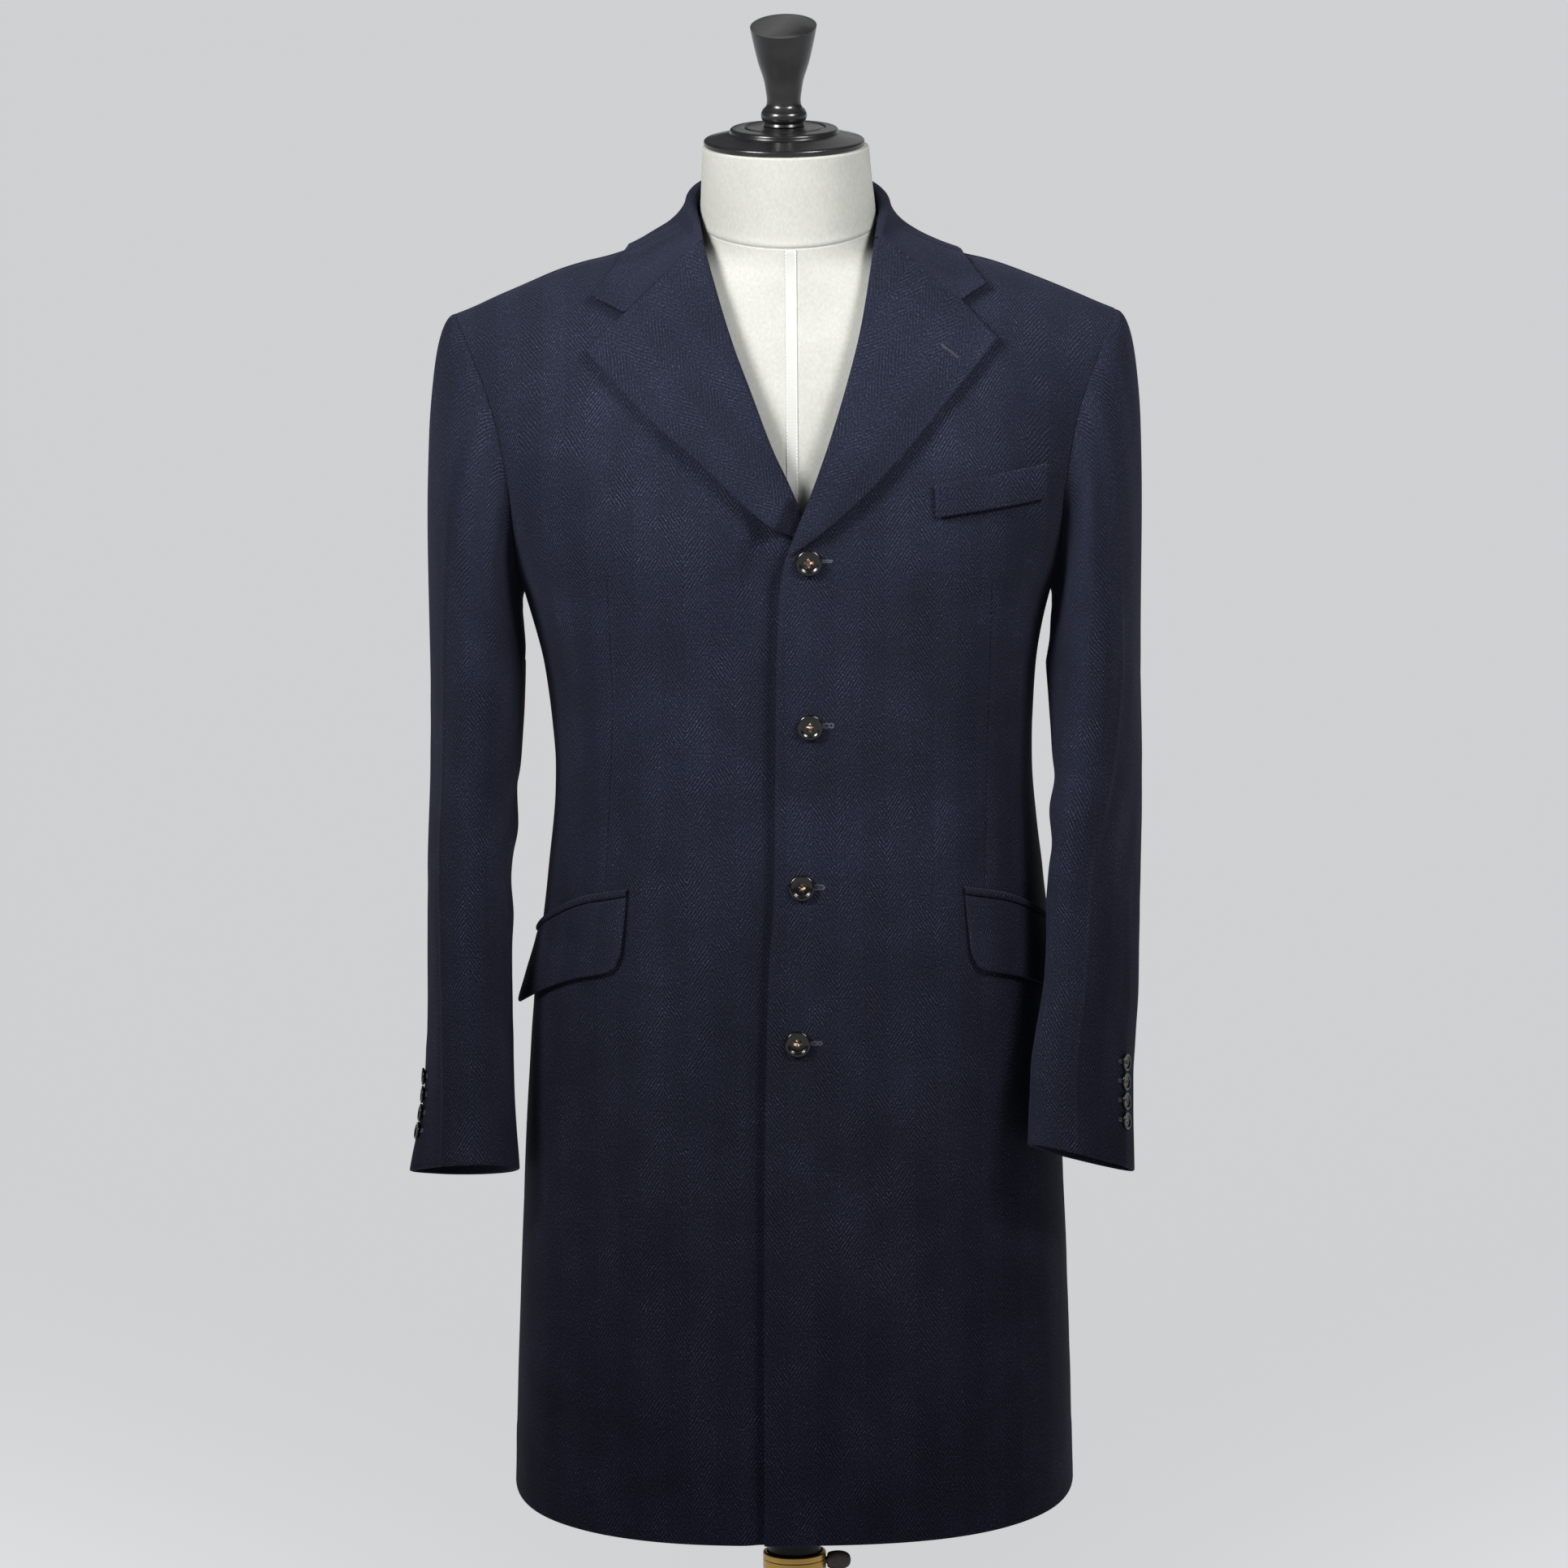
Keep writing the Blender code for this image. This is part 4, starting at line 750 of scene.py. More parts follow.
def sleeveRing(rows, side, height, around):
    angle, turn = np.radians(around), np.radians(read(rows, "turn", height))
    corner = np.maximum(np.cos(angle - radians(sleeve["hindSeam"])), 0) ** 8
    out = read(rows, "thin", height) * np.cos(angle) + read(rows, "flare", height) * corner
    fore = read(rows, "deep", height) * np.sin(angle)
    x = out * np.cos(turn) - fore * np.sin(turn)
    y = -out * np.sin(turn) - fore * np.cos(turn)
    z = -read(rows, "fore", height) * y - read(rows, "aside", height) * x + height
    x = x + read(rows, "x", height)
    y = y + read(rows, "y", height)
    return np.stack([x, y, z], axis=-1) * (side, 1, 1)


def sleevePoints(rows, side, shares, around):
    heights, head = rows["height"], sleeve["head"]
    start, end = armholeLoop(side, around), sleeveRing(rows, side, heights[-1], around)
    angle = np.radians(around)
    reach = np.linalg.norm(end - start, axis=1, keepdims=True)
    leave = unit(np.stack([
        side * (0.85 + 0.15 * np.cos(angle)), -0.42 * np.sin(angle), -0.5 + 0.5 * np.cos(angle)], -1))
    leave = leave * (0.01 + 0.26 * reach)
    arrive = np.array([0, 0, -1.0]) * reach * 1.05
    t = np.clip(shares / head, 0, 1)[:, None, None]
    mixed = swept(start, leave, end, arrive, t)
    down = np.clip((shares - head) / (1 - head), 0, 1)
    height = heights[-1] + (heights[0] - heights[-1]) * down
    ring = sleeveRing(rows, side, height[:, None], around[None])
    return np.where((shares >= head)[:, None, None], ring, mixed)


def sleeveGrid(rows, side, shares, around):
    points = sleevePoints(rows, side, shares, around)
    across = sleevePoints(rows, side, shares, around + 1) - sleevePoints(rows, side, shares, around - 1)
    high = sleevePoints(rows, side, np.maximum(shares - 0.004, 0), around)
    low = sleevePoints(rows, side, np.minimum(shares + 0.004, 1), around)
    return points, unit(np.cross(across, low - high)) * side


def sleeveRelief(word, shares, around, piece):
    share, angle = shares[:, None], around[None, :]
    high = np.zeros((len(shares), len(around)))
    for at, middle, long, wide, up, slant in sleeveFolds[word]:
        off = (angle - middle + 180) % 360 - 180
        down = bell(share - at - slant * off / 90, long / sleeve["long"])
        high = high + up * down * bell(off, wide)
    phase = 1.9 if word == "left" else 3.6
    if piece == "top":
        crease = bell(angle - sleeve["crease"], sleeve["creaseWide"]) * ramp(share, 0.12, 0.3)
        high = high + sleeve["creaseHigh"] * crease
    high = high + undulation(angle / 400, share * sleeve["long"], *sleeve["swell"], phase)
    if piece == "top":  # the cuff's vent laps over
        lap = bell(angle - sleeve["hindSeam"], sleeve["ventWide"])
        start, end = (1 - (sleeve["ventLength"] + more) / sleeve["long"] for more in (0.02, 0))
        high = high + sleeve["ventHigh"] * lap * ramp(share, start, end)
    return high


def makeSleeves():
    made = {}
    fine, head = nearEdge[:6] / sleeve["long"], sleeve["head"]
    shares = np.unique(np.concatenate([
        fine, np.linspace(0.006, head, 40), np.linspace(head, 0.9945, 100), 1 - fine]))
    for word, side in sides:
        rows = sleeveRows[word]
        for piece, first, last in (
            ("top", sleeve["hindSeam"], sleeve["foreSeam"]),
            ("under", sleeve["foreSeam"], sleeve["hindSeam"] + 360),
        ):
            turn = nearEdge[:6] / sleeve["degree"]
            around = np.arange(first + 6, last - 5.9, 3.6)
            around = np.concatenate([first + turn, around, last - turn[::-1]])
            if piece == "top":
                crease = sleeve["crease"] + np.arange(-5, 5.1, 1.25)
                around = np.unique(np.concatenate([around, crease]))
            points, out = sleeveGrid(rows, side, shares, around)
            raised = sleeveRelief(word, shares, around, piece)
            points = points + out * raised[..., None]
            u = along(points, 1)
            middle = np.argmin(np.abs(around - (60 if piece == "top" else 250)))
            u = (u - u[:, middle:middle + 1]) * -side
            v = -along(points, 0).mean(axis=1)[:, None] + 0 * u
            name = f"sleeve{piece.title()}{word.title()}Cloth"
            weave = np.stack([u, v], -1)
            made[word, piece] = clothPiece(name, points, out, weave, bodyWool, edges=(0.3, 1, 0.4, 0.4))
    print("sleeves made")
    return made


# lapels and collar

leftLapelRows = table("""share rollX rollZ edgeX edgeZ
0 .0004 1.275 .0022 1.2716
.09 .0081 1.2944 .025 1.2885
.21 .019 1.321 .06 1.3185
.36 .031 1.3535 .092 1.3518
.57 .046 1.4 .125 1.3878
.74 .056 1.4365 .145 1.4092
1 .0672 1.4945 .157 1.4232""")
rightLapelRows = table("""share rollX rollZ edgeX edgeZ
0 .02 1.284 .016 1.2812
.09 .0114 1.3029 -.0071 1.291
.19 .003 1.3235 -.03 1.3085
.32 -.01 1.351 -.065 1.3415
.52 -.026 1.3925 -.1 1.3702
.69 -.0395 1.4272 -.127 1.3955
1 -.061 1.494 -.1483 1.4172""")
leftLapelTop = table("""share x z
0 .0672 1.4945, .67 .1308 1.4488, 1 .157 1.4232""")
rightLapelTop = table("""share x z
0 -.061 1.494, .67 -.1197 1.4427, 1 -.1483 1.4172""")
rollRows = table("""distance lift
0 .0014, .006 .004, .022 .006, .055 .0058, .1 .0048, .2 .0044""")
lapel = {
    "thick": 0.003,
    "foldWide": 0.006,
    "foldHigh": 0.0049,
    "foldPoints": 15,
    "foldTurns": (-55, 74),  # degrees round the roll line
    "belly": 0.0012,
    "swell": (0.0003, 0.08),
    "fineEdge": numbers("0 .0002 .0006 .0012 .002 .0036")[0],  # points close to the edge
}


def rollLift(x, z, rollX, rollZ):
    return cloth["thick"] + read(rollRows, "lift", np.hypot(x - rollX, z - rollZ))


def rolledRow(rollX, rollZ, x, z, lift, wide, high, turns):
    # cloth that turns over at a roll line, then lies over the coat's front
    points, out = frontPoint(x, z, lift)
    start, startOut = frontPoint(rollX, rollZ, np.zeros_like(rollX))
    way = points[:, :1] - start
    way = unit(way - startOut * np.sum(way * startOut, axis=-1, keepdims=True))
    a, b = wide[..., None], high[..., None]
    middle = start + startOut * (lift[:, :1, None] - b) + way * a
    turn = np.radians(turns)[None, :, None]
    fold = middle - way * a * np.cos(turn) + startOut * b * np.sin(turn)
    foldOut = unit(startOut * np.sin(turn) / b - way * np.cos(turn) / a)
    return np.concatenate([fold, points], 1), np.concatenate([foldOut, out], 1)


def makeLapel(name, rows, top, tucksUnder, phase):
    edge = lapel["fineEdge"]
    shares = np.concatenate([edge * 4, np.linspace(0.02, 0.975, 96), 1 - edge[::-1] * 4.2])[:, None]
    rollX, rollZ, edgeX, edgeZ = (read(rows, column, shares) for column in list(rows)[1:])
    wide = np.hypot(edgeX - rollX, edgeZ - rollZ)
    size = 0.25 + 0.75 * ramp(shares, 0, 0.1)
    foldWide = np.minimum(lapel["foldWide"] * size, 0.4 * wide)
    fine = edge[None, ::-1] * np.minimum(1, wide / 0.02)
    first = foldWide / wide
    across = first + (1 - 0.006 * np.minimum(1, wide / 0.02) / wide - first) * np.linspace(0, 1, 44)[None]
    across = np.concatenate([across, 1 - fine / wide], 1)
    bend = ramp(shares, 0.6, 1.0)
    straightX = rows["rollX"][-1] * (1 - across) + rows["edgeX"][-1] * across
    straightZ = rows["rollZ"][-1] * (1 - across) + rows["edgeZ"][-1] * across
    x = rollX + (edgeX - rollX) * across + bend * (readStraight(top, "x", across) - straightX)
    z = rollZ + (edgeZ - rollZ) * across + bend * (readStraight(top, "z", across) - straightZ)
    lift = rollLift(x, z, rollX, rollZ) * size
    swell = hump(across) * hump(shares) ** 0.7
    uneven = undulation(x, z, *lapel["swell"], phase) * ramp(across, 0.1, 0.4) * (1 - bend)
    lift = lift + lapel["belly"] * swell + uneven
    under = underLeftFront(z, x) if tucksUnder else np.zeros_like(x)
    lift = lift + under * (-cloth["thick"] - cloth["lap"] - lift)
    foldHigh = lapel["foldHigh"] * size * (1 - 0.5 * under[:, :1])
    turns = np.linspace(*lapel["foldTurns"], lapel["foldPoints"])
    points, out = rolledRow(rollX, rollZ, x, z, lift, foldWide, foldHigh, turns)
    side = 1 if rows["edgeX"][-1] > 0 else -1
    grain = radians(lapelGrain[name])
    flatX = (points[..., 0] * cos(grain) + points[..., 2] * sin(grain)) * side
    flatZ = -points[..., 0] * sin(grain) + points[..., 2] * cos(grain)
    piece = clothPiece(name, points, out, np.stack([flatX, flatZ], -1), facingWool, lapel["thick"],
                       radius=0.0012, edges=(1, 1, 0, 1))
    return piece, points, out


lapelGrain = {"lapelLeftCloth": -38.0, "lapelRightCloth": 40.0}  # the weave's slant, degrees

leftCollarRows = table("""share around away foldZ edgeX edgeY stand
0 0 .0735 1.534 .001 .08 .044
.25 33 .0735 1.532 .056 .076 .038
.48 64 .073 1.5265 .106 .052 .018
.64 87 .073 1.5205 .13 .016 .011
.8 107 .0748 1.513 .1365 -.013 .006
.92 119 .0793 1.5045 .143 -.034 .0015
1 126 .0822 1.5005 .1495 -.0485 .0006""")
rightCollarRows = table("""share around away foldZ edgeX edgeY stand
0 0 .0735 1.534 .001 .08 .044
.25 -33 .0735 1.533 -.053 .076 .039
.48 -64 .073 1.529 -.098 .052 .0205
.64 -87 .073 1.5235 -.116 .012 .014
.8 -107 .0745 1.514 -.124 -.019 .007
.92 -119.5 .078 1.5045 -.134 -.043 .0015
1 -125.7 .0804 1.5005 -.1445 -.0579 .0006""")
leftCollarFront = table("""share x z
0 .0673 1.4946, .76 .1309 1.4489, 1 .1495 1.459""")
rightCollarFront = table("""share x z
0 -.0611 1.4941, .76 -.1198 1.4428, 1 -.1445 1.4532""")
collar = {
    "thick": 0.0023,
    "neckCentre": 0.0025,
    "fold": 0.0046,
    "swell": 0.0009,
    "meets": 0.78,  # the lapel's seam starts here, as a share of half its length
    "back": 0.86,  # one smooth sweep up to here
    "sweep": 11,  # how freely it bends
    "fall": 0.065,
    "standPoints": 9,
    "foldPoints": 13,
    "clear": 0.0025,  # how far its under side stays over the coat
}


def shoulderSamples():  # the coat's upper surface, close together
    levels = cloth["arch"] + (cloth["ridge"] - cloth["arch"]) * np.sin(np.linspace(0.75, 1.5698, 130))
    turns = np.concatenate([np.linspace(-62, 62, 170), np.linspace(118, 242, 170)])
    level, turn = (grid.ravel() for grid in np.meshgrid(levels, turns))
    points, out = bodyPoint(level, turn), bodyNormal(level, turn)
    solid, plan = KDTree(len(points)), KDTree(len(points))
    for k, point in enumerate(points):
        solid.insert(point, k)
        plan.insert((point[0], point[1], 0), k)
    solid.balance()
    plan.balance()
    return points, out, solid, plan


def heightOver(x, y, samples):
    points, _, _, plan = samples
    near = [k for _, k, _ in plan.find_n((x, y, 0), 4)]
    return points[near, 2].mean()


def liftNeeded(points, samples):  # how far each point has to move out to clear the coat
    coat, outs, solid, _ = samples
    moves = []
    for point in points:
        near = [k for _, k, _ in solid.find_n(point, 4)]
        out = unit(outs[near].mean(axis=0))
        depth = np.dot(point - coat[near].mean(axis=0), out)
        moves.append(out * max(collar["clear"] - depth, 0))
    return np.array(moves)


def collarRow(rows, front, share, samples):
    around = radians(read(rows, "around", share))
    radial, up = np.array([sin(around), cos(around), 0]), np.array([0, 0, 1.0])
    size = collar["fold"]
    fold = radial * read(rows, "away", share) + (collar["neckCentre"], 0, read(rows, "foldZ", share))
    edge = np.array([read(rows, "edgeX", share), read(rows, "edgeY", share), 0])
    edge[2] = heightOver(edge[0], edge[1], samples) + cloth["thick"] + cloth["lap"]
    aside = unit(np.array([edge[0] - fold[0], edge[1] - fold[1], 0]))
    middle = fold - up * size
    parts = np.linspace(1, 0.06, collar["standPoints"])
    stand = [middle - radial * size - up * read(rows, "stand", share) * part for part in parts]
    bend = []
    for turn in np.radians(np.linspace(0, 172, collar["foldPoints"])):
        way = radial if turn < pi / 2 else aside
        bend.append(middle - way * size * cos(turn) + up * size * sin(turn))
    start = middle + aside * size
    reach = np.linalg.norm(edge - start)
    leave = (aside * 0.25 - up) * reach
    far = start + (edge - start) * 1.1
    far[2] = heightOver(far[0], far[1], samples) + cloth["thick"] + cloth["lap"]
    arrive = unit(far - edge) * reach
    fine = lapel["fineEdge"][::-1] / collar["fall"]
    across = np.unique(np.concatenate([np.linspace(0.03, 0.93, 26), [0.76], 1 - fine]))
    fall = swept(start, leave, edge, arrive, across[:, None])
    moves = liftNeeded(fall, samples)
    quiet = np.zeros((len(stand) + len(bend), 3))
    row, moves = np.concatenate([stand, bend, fall]), np.concatenate([quiet, moves])
    # towards the front the row turns into the end of the lapel, so that the two meet in a seam
    near = ramp(share, collar["meets"], 1.0)
    if near > 0:
        long = hypot(front["x"][-1] - front["x"][0], front["z"][-1] - front["z"][0])
        foldWide = lapel["foldWide"] / long
        across = (foldWide + (1 - foldWide) * across)[None]
        x, z = readStraight(front, "x", across), readStraight(front, "z", across)
        rollX, rollZ = np.array([[front["x"][0]]]), np.array([[front["z"][0]]])
        lift = rollLift(x, z, rollX, rollZ)
        wide, high = np.array([[lapel["foldWide"]]]), np.array([[lapel["foldHigh"]]])
        turns = np.linspace(*lapel["foldTurns"], len(quiet))
        end = rolledRow(rollX, rollZ, x, z, lift, wide, high, turns)[0][0]
        row, moves = row + (end - row) * near, moves * (1 - near)
    return row, moves


def makeCollar():
    samples = shoulderSamples()
    end, fine = collar["back"], 1 - lapel["fineEdge"][::-1] * 5
    shares = np.concatenate([np.linspace(0, end, 84), np.linspace(0.866, 0.975, 22), fine])
    rows = [collarRow(rightCollarRows, rightCollarFront, share, samples) for share in shares[:0:-1]]
    rows += [collarRow(leftCollarRows, leftCollarFront, share, samples) for share in shares]
    points, moves = (np.array(grid) for grid in zip(*rows))
    places = np.concatenate([-shares[:0:-1], shares])
    back = np.abs(places) < end  # round the back, one smooth sweep
    sweep, shape = np.polynomial.chebyshev, points[back].shape
    fitted = sweep.chebfit(places[back] / end, points[back].reshape(shape[0], -1), collar["sweep"])
    fitted = sweep.chebval(places[back] / end, fitted).T.reshape(shape)
    lying = collar["standPoints"] + collar["foldPoints"]
    places = np.abs(places)[:, None, None]
    points[back] += (fitted - points[back]) * (1 - ramp(places[back], 0.55, 0.82))
    for k in np.nonzero(places[:, 0, 0] < 0.7)[0]:
        moves[k, lying:] = liftNeeded(points[k, lying:], samples)
    high = np.linalg.norm(moves, axis=-1, keepdims=True)
    for _ in range(5):  # round the back the lift is one smooth swell
        high[1:-1] = np.maximum(high[1:-1], np.maximum(high[:-2], high[2:]))
    way = moves.copy()
    for _ in range(90):
        for grid in (high, way):
            grid[1:-1] = (grid[:-2] + grid[1:-1] + grid[2:]) / 3
    way = way / np.maximum(np.linalg.norm(way, axis=-1, keepdims=True), 1e-9)
    moves = moves + (way * high - moves) * (1 - ramp(places, 0.5, 0.8))
    for _ in range(6):  # the lift spreads softly
        around = moves.copy()
        around[1:-1] += moves[:-2] + moves[2:]
        around[1:-1] /= 3
        moves = around.copy()
        moves[:, lying + 1:-1] = (
            around[:, lying:-2] + around[:, lying + 1:-1] + around[:, lying + 2:]) / 3
    points = points + moves
    out = unit(np.cross(np.gradient(points, axis=0), np.gradient(points, axis=1)))
    down, length = along(points, 1), along(points, 0)
    fall = down - down[:, lying:lying + 1]
    share = np.clip(fall / fall[:, -1:], 0, 1)
    fade = 1 - ramp(np.abs(np.linspace(-1, 1, len(points))), 0.8, 1.0)[:, None]
    points = points + out * (collar["swell"] * np.sin(pi * share) ** 1.5 * fade)[..., None]
    across = length[:, lying + 12:lying + 13]
    u = across - across[len(across) // 2] + 0 * fall
    weave = np.stack([u, -fall], -1)
    piece = clothPiece("collarCloth", points, out, weave, facingWool, collar["thick"], radius=0.0014)
    print("collar made")
    return piece


# pockets

weltRows = table("""share lowX lowZ topX topZ
0 .1108 1.2987 .1098 1.3229
1 .1917 1.307 .1931 1.3336""")
flapRows = table("""share turn top bottom left right
0 39 1.007 .956 .001 .001
.06 41.5 1.0053 .95 .0012 .0012
.3 53.5 .9975 .9405 .0014 .0014
.65 72 .978 .922 .0016 .002
1 91 .955 .9 .002 .0084""")
pocket = {
    "flapLong": 0.155,
    "flapDeep": 0.054,
    "flapThick": 0.0027,
    "weltThick": 0.0028,
    "flapLift": 0.0014,
    "flapBelly": 0.0009,
    "corner": 0.012,
    "jet": 0.0066,
    "jetRise": 0.003,
    "weltRise": 0.0024,
}


def patchShares(long):
    edge = np.array((0, 0.0002, 0.0006, 0.0012, 0.002, 0.0034, 0.005))
    return np.concatenate([edge, np.arange(0.0072, long - 0.0066, 0.0022), long - edge[::-1]]) / long


def makeWelt():
    across, up = patchShares(0.083)[None], patchShares(0.0255)[:, None]
    x = read(weltRows, "lowX", across) * (1 - up) + read(weltRows, "topX", across) * up
    z = read(weltRows, "lowZ", across) * (1 - up) + read(weltRows, "topZ", across) * up
    crown = hump(up) ** 0.6
    lift = cloth["thick"] + pocket["weltRise"] + 0.0004 * crown + 0.0006 * up
    lift = lift + undulation(x, z, 0.0002, 0.05, 1.0)
    points, out = frontPoint(x, z, lift)
    weave = np.stack([x + 0.004, z + 0.08 * (x - 0.15)], -1)
    return clothPiece("breastWeltCloth", points, out, weave, bodyWool, pocket["weltThick"])


def roundedCorner(a, b, size):  # distances from a corner's two sides, with the corner rounded off
    p, q = np.maximum(size - a, 0), np.maximum(size - b, 0)
    scale = np.maximum(p, q) / np.maximum(np.hypot(p, q), 1e-9)
    inside = (p > 0) & (q > 0)
    return np.where(inside, size - p * scale, a), np.where(inside, size - q * scale, b)


def layered(name, levels, turns, lift, weave, thick, radius):  # a layer that lies over the front
    out = bodyNormal(levels, turns)
    points = bodyPoint(levels, turns) + out * lift[..., None]
    return clothPiece(name, points, out, np.stack(weave, -1), bodyWool, thick, radius)


def makePocket(word, side):
    long, deep = pocket["flapLong"], pocket["flapDeep"]
    a = patchShares(long)[None] * long + np.zeros((len(patchShares(deep)), 1))
    b = patchShares(deep)[:, None] * deep + np.zeros_like(a)
    a, b = roundedCorner(a, b, pocket["corner"])
    back, b = roundedCorner(long - a, b, pocket["corner"] * 0.6)
    share, up = 1 - back / long, b / deep
    turns = read(flapRows, "turn", share) * side
    top, bottom = read(flapRows, "top", share), read(flapRows, "bottom", share)
    levels = bottom + (top - bottom) * up
    away = read(flapRows, word, share)
    lift = cloth["thick"] + pocket["flapLift"] + (away + 0.0006) * (1 - up) ** 1.3
    lift = lift + pocket["flapBelly"] * hump(up) * np.sin(pi * share) ** 0.4
    lift = lift + undulation(share * long, up * deep, 0.0003, 0.06, 2.0 + side)
    weave = side * (0.107 + share * long), levels - 0.1 * share * long
    flap = layered(f"flap{word.title()}Cloth", levels, turns, lift, weave, pocket["flapThick"], 0.0014)
    across, high = patchShares(long)[None], np.linspace(0, 1, 15)[:, None]
    turns = read(flapRows, "turn", across) * side
    levels = read(flapRows, "top", across) + 0.0002 + pocket["jet"] * high
    turns = turns + 0 * levels
    lift = cloth["thick"] + pocket["jetRise"] * np.sin(pi * np.clip(high, 0.04, 0.96)) ** 0.5
    lift = lift - 0.0006 + undulation(across * long, high, 0.00015, 0.05, side)
    weave = levels - levels[:1] + 0.004, across * long + 0 * levels
    return flap, layered(f"jet{word.title()}Cloth", levels, turns, lift, weave, cloth["thick"], 0.0016)


# things turned on a lathe

def turned(name, profile, material, steps, closed=False):
    count = len(profile)
    edges = [(k, k + 1) for k in range(count - 1)] + ([(count - 1, 0)] if closed else [])
    mesh = bpy.data.meshes.new(name)
    mesh.from_pydata([(r, 0, z) for r, z in profile], edges, [])
    obj = newObject(name, mesh, material)
    screw = obj.modifiers.new("turned", "SCREW")
    screw.steps = screw.render_steps = steps
    screw.use_merge_vertices = True
    screw.merge_threshold = 0.00001
    return obj


def rounded(profile, size, steps=4):  # a profile with its corners rounded off
    points = [Vector(p) for p in profile]
    made = [points[0]]
    for before, here, after in zip(points, points[1:], points[2:]):
        reach = min(size, (here - before).length * 0.45, (after - here).length * 0.45)
        start, end = (here + (other - here).normalized() * reach for other in (before, after))
        for t in np.linspace(0, 1, steps):
            made.append(start * (1 - t) ** 2 + here * (2 * t * (1 - t)) + end * t**2)
    return [tuple(p) for p in made + [points[-1]]]


def cutAway(obj, other):
    cut = obj.modifiers.new("cut", "BOOLEAN")
    cut.operation, cut.solver, cut.object = "DIFFERENCE", "EXACT", other


def workedIn(obj):  # modifiers worked into a plain mesh
    bpy.context.view_layer.update()
    mesh = bpy.data.meshes.new_from_object(obj.evaluated_get(bpy.context.evaluated_depsgraph_get()))
    old = obj.data
    obj.modifiers.clear()
    obj.data = mesh
    bpy.data.meshes.remove(old)
    return mesh


def settled(obj, angle=50):  # the same, shaded smooth up to an angle
    mesh = workedIn(obj)
    shaped = bmesh.new()
    shaped.from_mesh(mesh)
    bmesh.ops.recalc_face_normals(shaped, faces=shaped.faces)
    shaped.to_mesh(mesh)
    shaped.free()
    mesh.shade_smooth()
    mesh.set_sharp_from_angle(angle=radians(angle))
    return obj


def standingOn(point, out, spin=0.0):  # an object's origin at a point and its own Z along out
    turn = Vector(out).to_track_quat("Z", "Y").to_matrix().to_4x4()
    return Matrix.Translation(Vector(point)) @ turn @ Matrix.Rotation(radians(spin), 4, "Z")


def fromBmesh(name, shaped, material=None):
    mesh = bpy.data.meshes.new(name)
    shaped.to_mesh(mesh)
    shaped.free()
    mesh.shade_smooth()
    return newObject(name, mesh, material)


# buttons

button = {
    "frontRadius": 0.0098,
    "cuffRadius": 0.0068,
    "thick": 0.34,  # share of the radius
    "lift": 0.0016,
    "hole": 0.0009,
    "spread": 0.0026,
    "threadRow": 0.00028,  # between the turns of thread in a stitch
    "threadRise": 0.0004,
    "threadDown": 0.0022,
    "shank": 0.0011,
    "shankLong": 0.0019,
    "spins": (0, 7, -5, 4),  # no two were sewn on at the same turn
    "profile": numbers("""0 .58, .3 .58, .55 .6, .64 .65, .7 .79, .745 .92, .79 .985, .85 1, .91 .97
.955 .88, .985 .76, 1 .62, .985 .46, .93 .3, .82 .12, .7 0, 0 0"""),  # shares of radius and thickness
}


def makeButton(name, radius, steps):
    profile = [(r * radius, h * button["thick"] * radius) for r, h in button["profile"]]
    obj = turned(name, profile, horn, steps)
    share = radius / button["frontRadius"]
    holes = bmesh.new()
    for turn in (45, 135, 225, 315):
        made = bmesh.ops.create_cone(
            holes, cap_ends=True, segments=20, depth=0.02,
            radius1=button["hole"] * share, radius2=button["hole"] * share,
        )
        way = Vector((cos(radians(turn)), sin(radians(turn)), 0))
        bmesh.ops.translate(holes, verts=made["verts"], vec=way * button["spread"] * share)
    cutter = fromBmesh("holes", holes)
    cutAway(obj, cutter)
    obj = settled(obj, angle=40)
    bpy.data.objects.remove(cutter)
    addUvs(obj.data, "face", [(v.co.x / radius, v.co.y / radius) for v in obj.data.vertices])
    return obj


def placedCopy(source, name, placing):
    mesh = source.data.copy()
    mesh.transform(placing)
    return newObject(name, mesh)


def threadMesh(name, strands, radius, material):  # each strand of points becomes a round thread
    shaped = bmesh.new()
    circle = [Vector((cos(a) * radius, sin(a) * radius, 0))
              for a in np.linspace(0, 2 * pi, 8, False)]
    for strand in strands:
        points = [Vector(p) for p in strand]
        rings = []
        for k, point in enumerate(points):
            way = (points[min(k + 1, len(points) - 1)] - points[max(k - 1, 0)]).normalized()
            turn = way.to_track_quat("Z", "Y")
            rings.append([shaped.verts.new(point + turn @ off) for off in circle])
        for low, high in zip(rings, rings[1:]):
            for k in range(len(circle)):
                after = (k + 1) % len(circle)
                shaped.faces.new((low[k], low[after], high[after], high[k]))
        shaped.faces.new(rings[0][::-1])
        shaped.faces.new(rings[-1])
    return fromBmesh(name, shaped, material)


frontButtonPlaces = ((0.0161, 1.2675), (0.0161, 1.1416), (0.0091, 1.0189), (0.0052, 0.9009))  # x and z
cuffButtonUp = {"left": (0.0316, 0.0453, 0.059, 0.0727), "right": (0.029, 0.0425, 0.056, 0.0695)}
cuffButtonRound = {"left": -12.0, "right": 0.0}


